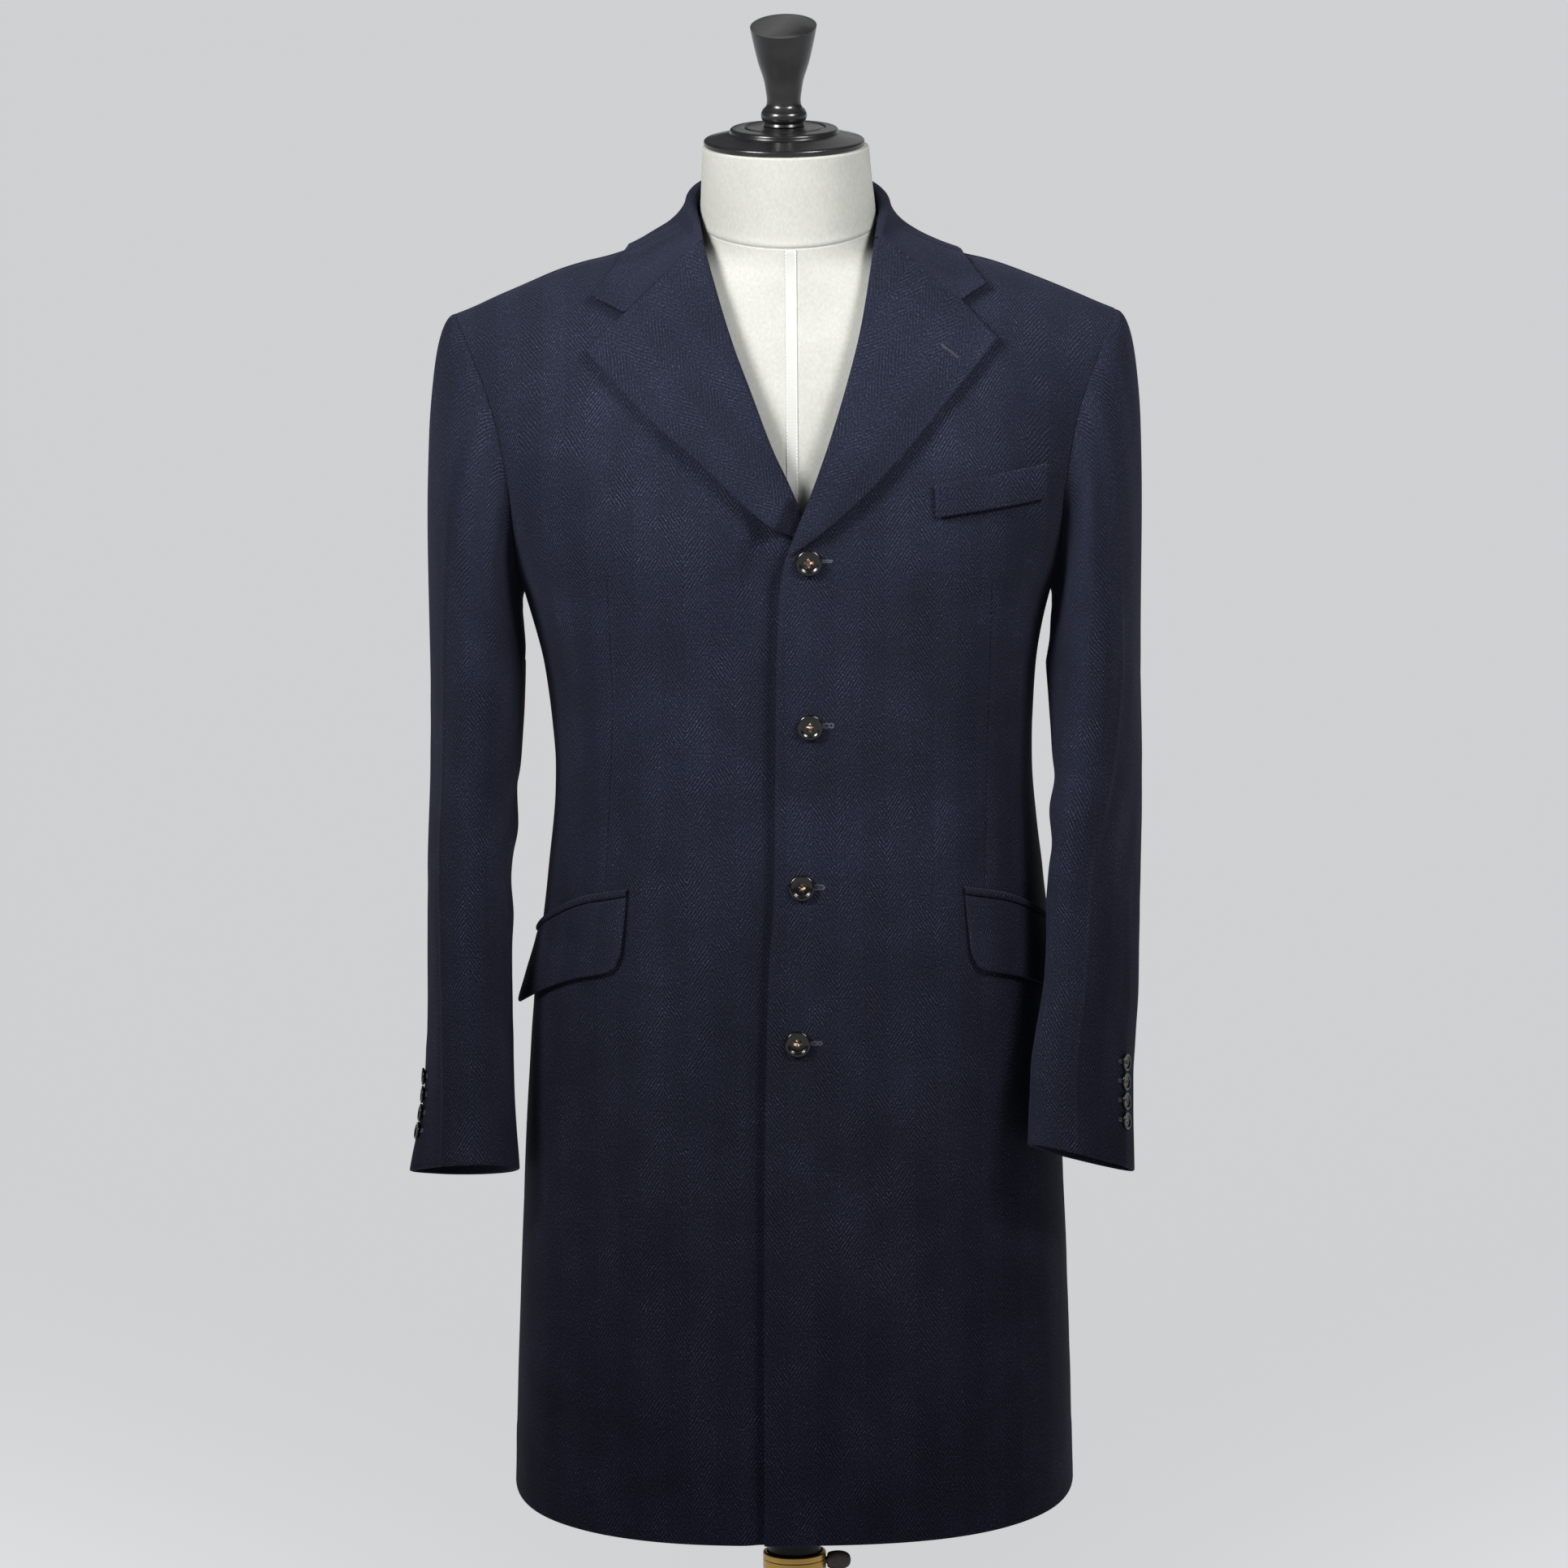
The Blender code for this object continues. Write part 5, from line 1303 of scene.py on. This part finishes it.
def buttonThread(share):  # two parallel pairs of stitches through the holes, and a wound shank
    spread = button["spread"] * share
    top = 0.61 * button["thick"] * button["frontRadius"] * share
    strands = []
    for a, b in (((0.7, 0.7), (-0.7, 0.7)), ((0.7, -0.7), (-0.7, -0.7))):
        for off in (-button["threadRow"], 0, button["threadRow"]):
            start, end = Vector((*a, 0)) * spread, Vector((*b, 0)) * spread
            aside = (end - start).cross(Vector((0, 0, 1))).normalized() * off * share
            line = []
            for t in np.linspace(0, 1, 9):
                rise = button["threadRise"] * sin(pi * t) ** 0.6 * share
                line.append(start.lerp(end, t) + aside + Vector((0, 0, top + rise * 1.3)))
            down = Vector((0, 0, button["threadDown"] * share))
            strands.append([line[0] - down] + line + [line[-1] - down])
    wide, long = button["shank"] * share, -button["shankLong"] * share
    turns = [k / 12 * 2 * pi for k in range(60)]
    shank = [(wide * cos(turn), wide * sin(turn), long * k / 59) for k, turn in enumerate(turns)]
    return strands + [shank]


def makeButtons():
    made = []
    front = makeButton("frontButton", button["frontRadius"], 72)
    frontThread = threadMesh("buttonThread", buttonThread(1.0), 0.00018, buttonTwist)
    for number, (x, z) in enumerate(frontButtonPlaces, 1):
        point, out = frontPoint(np.array(x), np.array(z), np.array(button["lift"]))
        placing = standingOn(point, out, button["spins"][number - 1])
        made.append((placedCopy(front, f"buttonFront{number}", placing), f"button_front_{number}"))
        made.append((placedCopy(frontThread, f"buttonThread{number}", placing), None))
    share = button["cuffRadius"] / button["frontRadius"]
    cuff = makeButton("cuffButton", button["cuffRadius"], 48)
    cuffThread = threadMesh("cuffThread", buttonThread(share), 0.00015, buttonTwist)
    for word, side in sides:
        rows, around = sleeveRows[word], cuffButtonRound[word]
        for number, up in enumerate(cuffButtonUp[word], 1):
            height = rows["height"][0] + up
            behind, here, ahead = sleeveRing(rows, side, height, around + np.array((-1.0, 0.0, 1.0)))
            above = sleeveRing(rows, side, height + 0.002, np.array((around,)))[0]
            out = unit(np.cross(ahead - behind, above - here))
            out = out * side * np.sign(out[0])
            placing = standingOn(here + out * cloth["lap"], out, 20 * number)
            place = f"{word.title()}{number}"
            node = f"button_cuff_{word}_{number}"
            made.append((placedCopy(cuff, "buttonCuff" + place, placing), node))
            made.append((placedCopy(cuffThread, "cuffThread" + place, placing), None))
    for source in (front, frontThread, cuff, cuffThread):
        bpy.data.objects.remove(source)
    print("buttons made")
    return made


# stitching

def stitchTree():
    # stitches along every edge chain of a mesh, each turned to the cloth under it
    tree = bpy.data.node_groups.new("stitching", "GeometryNodeTree")
    put, spinning = partial(addNode, tree), "FunctionNodeAlignRotationToVector"
    for name, way, kind, value in (
        ("Geometry", "INPUT", "Geometry", None), ("Geometry", "OUTPUT", "Geometry", None),
        ("Spacing", "INPUT", "Float", 0.0006), ("Length", "INPUT", "Float", 0.0024),
        ("Width", "INPUT", "Float", 0.0005), ("Turn", "INPUT", "Float", 90.0),
        ("Uneven", "INPUT", "Float", 0.12), ("Seed", "INPUT", "Int", 3),
        ("Thread", "INPUT", "Material", None),
    ):
        socket = tree.interface.new_socket(name, in_out=way, socket_type="NodeSocket" + kind)
        if value is not None:
            socket.default_value = value
    given = put("NodeGroupInput", {}).node.outputs
    curve = put("GeometryNodeMeshToCurve", {}, given["Geometry"])
    curve = put("GeometryNodeResampleCurve", {"mode": "LENGTH"}, curve, Length=given["Spacing"])
    out = put("GeometryNodeInputNamedAttribute", {"data_type": "FLOAT_VECTOR"}, Name="out").node.outputs
    out = next(socket for socket in out if socket.enabled and socket.name == "Attribute")
    facing = put(spinning, {"axis": "X", "pivot_axis": "Z"}, Vector=put("GeometryNodeInputTangent", {}),
                 Rotation=put(spinning, {"axis": "Z"}, Vector=out))
    spin = put("FunctionNodeRandomValue", {"data_type": "FLOAT"}, Seed=given["Seed"]).node.outputs[1]
    turn = put(maths, timesPlus, spin, given["Uneven"], put(maths, {"operation": "RADIANS"}, given["Turn"]))
    facing = put("FunctionNodeRotateRotation", {"rotation_space": "LOCAL"}, facing,
                 put("ShaderNodeCombineXYZ", {}, Z=turn))
    half, thin = (put(maths, times, given[name], 0.5) for name in ("Length", "Width"))
    bead = put("GeometryNodeMeshUVSphere", {}, Segments=8, Rings=6, Radius=1.0)
    vary = put("FunctionNodeRandomValue", {"data_type": "FLOAT"}, None, None, 0.88, 1.1, Seed=given["Seed"])
    solid = put("GeometryNodeInstanceOnPoints", {}, Points=curve, Instance=bead, Rotation=facing,
                Scale=put("ShaderNodeCombineXYZ", {}, half, thin, thin))
    solid = put("GeometryNodeScaleInstances", {}, solid, Scale=vary.node.outputs[1])
    solid = put("GeometryNodeRealizeInstances", {}, solid)
    solid = put("GeometryNodeSetShadeSmooth", {}, solid)
    put("NodeGroupOutput", {}, put("GeometryNodeSetMaterial", {}, solid, Material=given["Thread"]))
    return tree


stitching = stitchTree()


def sewnLine(name, lines, outs, thread, **sizes):  # lines of points, the cloth's direction at each
    mesh = bpy.data.meshes.new(name)
    points, edges, outward = [], [], []
    for line, out in zip(lines, outs):
        first = len(points)
        points += [tuple(p) for p in line]
        outward += [tuple(o) for o in out]
        edges += [(k, k + 1) for k in range(first, len(points) - 1)]
    mesh.from_pydata(points, edges, [])
    normals = mesh.attributes.new("out", "FLOAT_VECTOR", "POINT").data
    normals.foreach_set("vector", np.array(outward, np.float32).ravel())
    obj = newObject(name, mesh)
    sewing = obj.modifiers.new("stitches", "NODES")
    sewing.node_group = stitching
    sizes["Thread"] = thread
    for item in stitching.interface.items_tree:
        if item.in_out == "INPUT" and item.name in sizes:
            sewing[item.identifier] = sizes[item.name]
    workedIn(obj)
    return obj


# dress form and its stand

torsoRows = table("""height side front back middle
.88 .138 .098 .094 .0015
.89 .15 .108 .104 .002
.96 .16 .118 .113 .003
1.02 .156 .112 .106 .004
1.087 .149 .105 .096 .004
1.16 .156 .11 .101 .003
1.26 .172 .12 .109 .0025
1.32 .176 .117 .108 .0025
1.38 .178 .106 .1 .0025
1.42 .172 .092 .09 .0025
1.45 .148 .078 .0775 .0025
1.468 .106 .07 .0685 .0025
1.479 .08 .0668 .066 .0027
1.488 .0705 .0658 .0655 .0027
1.497 .0672 .0654 .0654 .0027
1.512 .0662 .065 .065 .0025
1.53 .0648 .064 .064 .0019
1.55 .0634 .063 .063 .0014
1.5596 .0628 .0626 .0626 .0012
1.5606 .0624 .0622 .0622 .0012
1.5612 .0614 .0612 .0612 .0012""")
form = {
    "sides": 144,
    "neck": 0.066,
    "neckSeam": 1.501,
    "seamDrop": 0.008,  # lower at the front
    "seamDeep": 0.0005,
    "seamWide": 0.0007,
    "tape": (0.0, 0.0086),  # from and to, across the front
    "tapeThick": 0.0006,
    "tapeFoot": 0.9,
}


def roundness(height):  # the chest is squarer than the neck
    return 1 - 0.14 * (1 - ramp(height, 1.42, 1.49))


def seamDrop(turn):
    return form["seamDrop"] * np.maximum(np.cos(turn), 0) ** 1.5


def torsoPoint(height, turn):  # turn in radians from the centre front
    height, turn = np.broadcast_arrays(np.asarray(height, float), np.asarray(turn, float))
    power = roundness(height)
    x = signedPower(np.sin(turn), power) * read(torsoRows, "side", height)
    deep = np.where(np.cos(turn) > 0, -read(torsoRows, "front", height), read(torsoRows, "back", height))
    y = np.abs(np.cos(turn)) ** power * deep
    above = height - form["neckSeam"] + seamDrop(turn)
    seam = 1 - form["seamDeep"] / form["neck"] * bell(above, form["seamWide"])
    seam = seam + 0.0006 / form["neck"] * bell(above - 0.003, 0.0022)
    return np.stack([x * seam + read(torsoRows, "middle", height), y * seam, height], axis=-1)


def ringsPiece(name, rings, material):  # closed solid from rings, bottom first
    rings = np.asarray(rings, float)
    count, sides = rings.shape[:2]
    index = np.arange(count * sides).reshape(count, sides)
    after = np.roll(index, -1, axis=1)
    quads = np.stack([index[:-1], after[:-1], after[1:], index[1:]], -1).reshape(-1, 4)
    shaped = bmesh.new()
    verts = [shaped.verts.new(p) for p in rings.reshape(-1, 3)]
    for face in [*quads, index[0], index[-1]]:
        shaped.faces.new([verts[k] for k in face])
    bmesh.ops.recalc_face_normals(shaped, faces=shaped.faces)
    obj = fromBmesh(name, shaped, material)
    obj.data.set_sharp_from_angle(angle=radians(55))
    return obj


def makeTorso():
    seam = form["neckSeam"]
    heights = np.unique(np.concatenate([
        np.linspace(0.88, 0.895, 6), np.linspace(0.905, 1.4, 46), np.linspace(1.405, 1.559, 66),
        np.linspace(1.5596, 1.5612, 6),
        seam + numbers("-.003 -.002 -.0014 -.0009 -.0004 0 .0004 .0009 .0014 .002 .003")[0],
    ]))
    turn = np.linspace(0, 2 * pi, form["sides"], endpoint=False)
    rings = heights[:, None] - seamDrop(turn[None]) * bell(heights[:, None] - seam, 0.02)
    torso = ringsPiece("formTorso", torsoPoint(rings, turn[None]), canvasCloth)
    low, high = form["tape"]
    across = numbers("0 .0002 .0005 .001 .002 .004 .006 .007 .0075 .008 .0082 1")[0] / 0.0082
    across = low + (high - low) * np.clip(across, 0, 1)
    top = seam - form["seamDrop"] - 0.0008
    heights = np.concatenate([np.linspace(form["tapeFoot"], 1.4, 50), np.linspace(1.405, top, 60)])
    heights = heights[:, None]
    share = (across[None] - read(torsoRows, "middle", heights)) / read(torsoRows, "side", heights)
    turns = np.arcsin(signedPower(share, 1 / roundness(heights)))
    points = torsoPoint(heights, turns)
    out = unit(np.cross(np.gradient(points, axis=1), np.gradient(points, axis=0)))
    out = out * np.sign(-out[..., 1:2])
    points = points + out * form["tapeThick"]
    tape = clothPiece("centreTape", points, out, points[..., ::2], tapeCloth, form["tapeThick"] * 0.95,
                      radius=0.0005)
    lines, outs = ([grid[::-1, column][:70] for column in (2, 8)] for grid in (points, out))
    sewing = sewnLine("tapeStitches", lines, outs, cottonThread, Spacing=0.0026, Length=0.0019,
                      Width=0.0004, Turn=0.0, Uneven=0.05, Seed=5)
    print("form made")
    return torso, tape, sewing


def makeCapAndKnob():
    cap = settled(turned("neckCap", rounded(numbers("""0 1.5762, .018 1.5762, .0285 1.5756, .0296 1.5746
.0306 1.5746, .0314 1.5755, .0395 1.5748, .0408 1.5738, .0412 1.5708, .0596 1.5662, .0607 1.5652
.0607 1.5624, .06 1.5615, 0 1.5615"""), 0.0007), lacquer, 144), angle=60)
    heights = np.linspace(1.664, 1.5885, 60)
    knob = table("""height radius
1.5885 .0162, 1.59 .0146, 1.5925 .0131, 1.596 .0128, 1.603 .0136, 1.6102 .0148
1.6247 .0193, 1.64 .0229, 1.649 .0247, 1.664 .0268""")
    side = [(float(read(knob, "radius", h)), h) for h in heights]
    bead = [(0.0148 + 0.0026 * cos(turn), 1.5843 + 0.0043 * sin(turn))
            for turn in np.linspace(1.25, -1.3, 14)]
    foot = [(0.015, 1.579), (0.0156, 1.5772), (0.015, 1.5765), (0, 1.5765)]
    finial = turned("knob", [(0, 1.664)] + side + bead + foot, lacquer, 128)
    block = bmesh.new()  # a slanting cut takes the top off
    bmesh.ops.create_cube(block, size=0.1)
    bmesh.ops.translate(block, verts=block.verts, vec=(0, 0, 0.05))
    cutter = fromBmesh("slant", block)
    cutter.matrix_world = standingOn((0, 0, 1.6517), (-0.03, -0.225, 1))
    cutAway(finial, cutter)
    rim = finial.modifiers.new("rim", "BEVEL")
    rim.width = 0.0011
    rim.segments = 4
    rim.limit_method = "ANGLE"
    rim.angle_limit = radians(60)
    finial = settled(finial, angle=40)
    bpy.data.objects.remove(cutter)
    return cap, finial


stand = {"tube": 0.0242, "bore": 0.0212, "tubeTop": 0.469, "pole": 0.0203, "clamp": 0.461}


def makeStand():
    tube, bore, top, pole = stand["tube"], stand["bore"], stand["tubeTop"], stand["pole"]
    inner = settled(turned("innerPole", rounded((
        (0, 0.8797), (pole, 0.8797), (pole, 0.12), (0, 0.12)), 0.001), poleLacquer, 96))
    wall = [(bore + 0.0005, top), (tube - 0.0013, top), (tube - 0.0004, top - 0.0004)]
    # a groove round the mouth, with close loops that keep the wall's shading straight
    for inward, down in numbers("""0 .0013, 0 .0016, 0 .0043, 0 .0046
.0003 .005, .0003 .0056, 0 .006, 0 .0064"""):
        wall.append((tube - inward, top - down))
    wall += [(tube, 0.026), (tube, 0.0243), (bore, 0.0243), (bore, top - 0.0005)]
    outer = settled(turned("brassTube", wall, brass, 128, closed=True), angle=60)
    base = settled(turned("base", rounded(numbers(
        "0 .024, .04 .024, .09 .019, .178 .015, .189 .01, .19 .004, .185 0, 0 0"), 0.003, 6), castIron, 160))
    rings = []
    turn = np.linspace(0, 2 * pi, 40, endpoint=False)
    shape = table("""along high thin
0 .0027 .0027, .004 .0027 .0027, .0044 .0052 .003, .0056 .0062 .0032, .009 .0072 .0027
.013 .0075 .0024, .017 .007 .0021, .02 .0056 .0018, .0218 .0036 .0013, .0225 .0008 .0004""")
    for place in np.concatenate([np.linspace(0, 0.02, 40), np.linspace(0.0203, 0.0225, 14)]):
        high, thin = read(shape, "high", place), read(shape, "thin", place)
        flat = 1 - 0.25 * ramp(place, 0.006, 0.012)
        y, z = signedPower(np.sin(turn), flat) * thin, np.cos(turn) * high
        rings.append(np.stack([pole + 0.0004 + place + 0 * y, y, z + stand["clamp"]], -1))
    clamp = ringsPiece("clampScrew", rings, steelPaint)
    print("stand made")
    return inner, outer, base, clamp


# the coat and the form, piece by piece

fronts = makeFronts()
backs = makeBacks()
sleeves = makeSleeves()
lapelLeft, *leftGrid = makeLapel("lapelLeftCloth", leftLapelRows, leftLapelTop, False, 1.4)
lapelRight, *_ = makeLapel("lapelRightCloth", rightLapelRows, rightLapelTop, True, 3.1)
print("lapels made")
collarPiece = makeCollar()
welt = makeWelt()
flapLeft, jetLeft = makePocket("left", 1)
flapRight, jetRight = makePocket("right", -1)
print("pockets made")
buttons = makeButtons()
torso, tape, tapeStitches = makeTorso()
cap, finial = makeCapAndKnob()
innerPole, tube, base, clamp = makeStand()


# buttonholes

buttonhole = {
    "front": 0.0175,
    "cuff": 0.0085,
    "lip": 0.0014,  # from the slit to each row of stitches
    "spacing": 0.00058,
    "stitch": 0.0015,
    "thread": 0.0006,
    "slope": (1.0, 0.02),
    "over": 0.0002,  # how far the stitches stand over the cloth, and the black strip laid in the slit as painted shade
    "slitShadeOver": 0.0001,
    "lapel": ((0.1166, 1.4246), (0.1295, 1.4148)),  # x and z of its ends
    "lapelLip": 0.00055,
    "lapelStitch": 0.0008,
}


def fromGrid(points, outs, wanted):  # places on a piece, by x and z
    flat, outward = points.reshape(-1, 3), outs.reshape(-1, 3)
    tree = KDTree(len(flat))
    for k, point in enumerate(flat):
        tree.insert((point[0], 0, point[2]), k)
    tree.balance()
    places, outs = [], []
    for x, z in wanted:
        near = tree.find_n((x, 0, z), 4)
        weight = np.array([1 / (distance + 1e-5) for _, _, distance in near])
        weight = weight / weight.sum()
        keys = [k for _, k, _ in near]
        places.append(weight @ flat[keys])
        outs.append(unit(weight @ outward[keys]))
    return np.array(places), np.array(outs)


def holeOutline(start, way, long, lip):  # two rows and a rounded far end, in a flat plane
    aside = np.array([-way[1], way[0]])
    line = [start + aside * lip + way * t for t in np.linspace(0, long - lip, 26)]
    far = start + way * (long - lip)
    for turn in np.linspace(0.25, pi - 0.25, 8):
        line.append(far + lip * (aside * cos(turn) + way * sin(turn)))
    line += [start - aside * lip + way * t for t in np.linspace(long - lip, 0, 26)]
    return line


frontMesh = fronts[0].data
faced = [v for v in frontMesh.vertices if v.normal.y < -0.6 and v.co.x < 0.07]
frontFace = np.array([v.co for v in faced]), np.array([v.normal for v in faced])
lines, outs, slitShades = [], [], []
for start in np.array(frontButtonPlaces):
    slope = np.array(buttonhole["slope"])
    outline = holeOutline(start, slope, buttonhole["front"], buttonhole["lip"])
    place, out = fromGrid(*frontFace, outline)
    lines.append(place + out * buttonhole["over"])
    outs.append(out)
    # points along the slit, for a black strip of painted shade
    inner = np.linspace(0, buttonhole["front"] - 0.0012, 12)[:, None]
    place, out = fromGrid(*frontFace, start + slope * inner)
    slitShades.append(place + out * buttonhole["slitShadeOver"])
holeStitches = sewnLine(
    "frontButtonholes", lines, outs, silkThread, Spacing=buttonhole["spacing"], Length=buttonhole["stitch"],
    Width=buttonhole["thread"], Turn=90.0, Uneven=0.16, Seed=11)
start, end = np.array(buttonhole["lapel"])
way = (end - start) / np.linalg.norm(end - start)
outline = holeOutline(start, way, np.linalg.norm(end - start), buttonhole["lapelLip"])
lapelFace = [grid[:, lapel["foldPoints"]:] for grid in leftGrid]
place, out = fromGrid(*lapelFace, outline)
lapelStitches = sewnLine(
    "lapelButtonhole", [place], [out], buttonTwist, Spacing=0.0005, Length=buttonhole["lapelStitch"],
    Width=0.0004, Turn=90.0, Uneven=0.16, Seed=14)
inner = np.linspace(0, 1, 10)[:, None]
slitShades.append(fromGrid(*lapelFace, start + (end - start) * inner)[0] + out[:1] * buttonhole["over"])
# painted shade: a black thread laid along each slit stands in for the shade inside it
holeSlitShade = threadMesh("buttonholeSlitShade", slitShades, 0.0003, buttonTwist)

lines, outs, slitShades = [], [], []
for word, side in sides:
    rows, around = sleeveRows[word], cuffButtonRound[word]
    for up in cuffButtonUp[word]:
        share = 1 - up / (rows["height"][-1] - rows["height"][0]) * (1 - sleeve["head"])
        turns = around + np.linspace(0, buttonhole["cuff"], 14) / sleeve["cuffDegree"]
        over = buttonhole["over"]
        for off, rise in ((-1, over), (1, over), (0, buttonhole["slitShadeOver"])):  # stitches, then the black strip that paints the slit's shade
            shares = np.array([share + off * 0.001 / sleeve["long"]])
            points, out = sleeveGrid(rows, side, shares, turns)
            points = (points + out * (sleeveRelief(word, shares, turns, "top")[..., None] + rise))[0]
            if off:
                lines.append(points)
                outs.append(out[0])
            else:
                slitShades.append(points)
cuffStitches = sewnLine(
    "cuffButtonholes", lines, outs, silkThread, Spacing=0.0006, Length=0.0016, Width=0.0005,
    Turn=90.0, Uneven=0.16, Seed=12)
# painted shade: the same black strips laid along the cuffs' slits
cuffSlitShade = threadMesh("cuffSlitShade", slitShades, 0.00024, buttonTwist)
print("buttonholes made")


# what each piece rides on, stands for and is cut from

coatPieces = [*fronts, *backs, *sleeves.values(), collarPiece, lapelLeft, lapelRight, welt,
              flapLeft, flapRight, jetLeft, jetRight]
# node, cut width, cut length, cut area, how it is held, what it rests on
coatNotes = """front_left .302 .985 .245 hung form_torso
front_right .3 .985 .262 hung form_torso
back_left .262 .977 .226 hung form_torso
back_right .298 .977 .239 hung form_torso
sleeve_top_left .2 .64 .11 hung front_left back_left
sleeve_under_left .2 .64 .105 hung front_left back_left
sleeve_top_right .2 .64 .11 hung front_right back_right
sleeve_under_right .2 .64 .105 hung front_right back_right
collar .64 .105 .046 folded back_left back_right
lapel_left .165 .24 .018 folded front_left
lapel_right .165 .24 .018 folded front_right
breast_welt .088 .026 .0022 laid front_left
flap_left .155 .055 .008 hung front_left
flap_right .155 .055 .008 hung front_right
pocket_jet_left .155 .01 .0012 laid front_left
pocket_jet_right .155 .01 .0012 laid front_right""".splitlines()
for piece, note in zip(coatPieces, coatNotes):
    node, width, length, area, held, *restsOn = note.split()
    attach(piece, "form")
    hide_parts(node)
for piece, node in buttons:
    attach(piece, "form")
    if node:
        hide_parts(node)
for piece in (holeStitches, lapelStitches, holeSlitShade, cuffStitches, cuffSlitShade):
    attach(piece, "form")
for piece, node, body, slot in (
    (torso, "form_torso", "form", "ivory_canvas"),
    (cap, "neck_cap", "form", "black_wood"),
    (finial, "finial", "form", "black_wood"),
    (innerPole, "inner_pole", "form", "black_wood"),
    (tube, "brass_tube", "stand", "brass"),
    (base, "base", "stand", "cast_iron"),
    (clamp, "clamp_screw", "clamp", "black_metal"),
):
    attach(piece, body)
    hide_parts(node)
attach(tape, "form")
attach(tapeStitches, "form")


# camera, floor and light

view = {"distance": 11.0, "rise": 11.5, "roll": 0.43, "aimX": -0.0037, "aimZ": 1.07, "lens": 332.05}
camera = bpy.data.cameras.new("camera")
camera.lens = view["lens"]
camera.sensor_width = 36
camera.clip_end = 500
cameraObject = newObject("camera", camera)
rise = radians(view["rise"])
spot = (view["aimX"], -view["distance"] * cos(rise), view["aimZ"] + view["distance"] * sin(rise))
turn = Matrix.Rotation(pi / 2 - rise, 4, "X") @ Matrix.Rotation(radians(-view["roll"]), 4, "Z")
cameraObject.matrix_world = Matrix.Translation(spot) @ turn
bpy.context.scene.camera = cameraObject

paint = newMaterial("paleStudioFloor")[0]
pale = linear("#D9DADB")
feed(paint.node_tree.nodes["Principled BSDF"], {
    "Base Color": pale, "Roughness": 0.9, "Emission Color": pale, "Emission Strength": 0.8})
floorMesh = bpy.data.meshes.new("floor")
floorMesh.from_pydata([(180 * x, 180 * y, 0) for x, y in ((-1, -1), (1, -1), (1, 1), (-1, 1))],
                      [], [(0, 1, 2, 3)])
newObject("floor", floorMesh, paint)


def shining(name, kind, place, aim, power, soft, **settings):
    light = bpy.data.lights.new(name, kind)
    light.energy = power
    for key, value in settings.items():
        setattr(light, key, value)
    if kind == "SUN":
        light.angle = radians(soft)
    else:
        light.size = soft
    newObject(name, light).matrix_world = standingOn(place, Vector(place) - Vector(aim))


shining("sun", "SUN", (-1.0, -4.5, 3.2), (0, 0, 0), 0.075, 28)
shining("backLight", "SUN", (1.2, 4.5, 1.8), (0, 0, 0), 0.14, 40)
shining("softboxLeft", "AREA", (-1.45, -1.4, 2.7), (0.0, -0.1, 1.5), 6.0, 0.9, spread=radians(30))
shining("softboxRight", "AREA", (1.3, -1.4, 2.8), (0.0, -0.1, 1.5), 4.1, 0.9, spread=radians(31))
world = bpy.data.worlds.new("studio")
world.use_nodes = True
world.node_tree.nodes["Background"].inputs[0].default_value = linear("#D6D9DE")
world.node_tree.nodes["Background"].inputs[1].default_value = 0.1
bpy.context.scene.world = world
bpy.context.scene.view_settings.view_transform = "Standard"
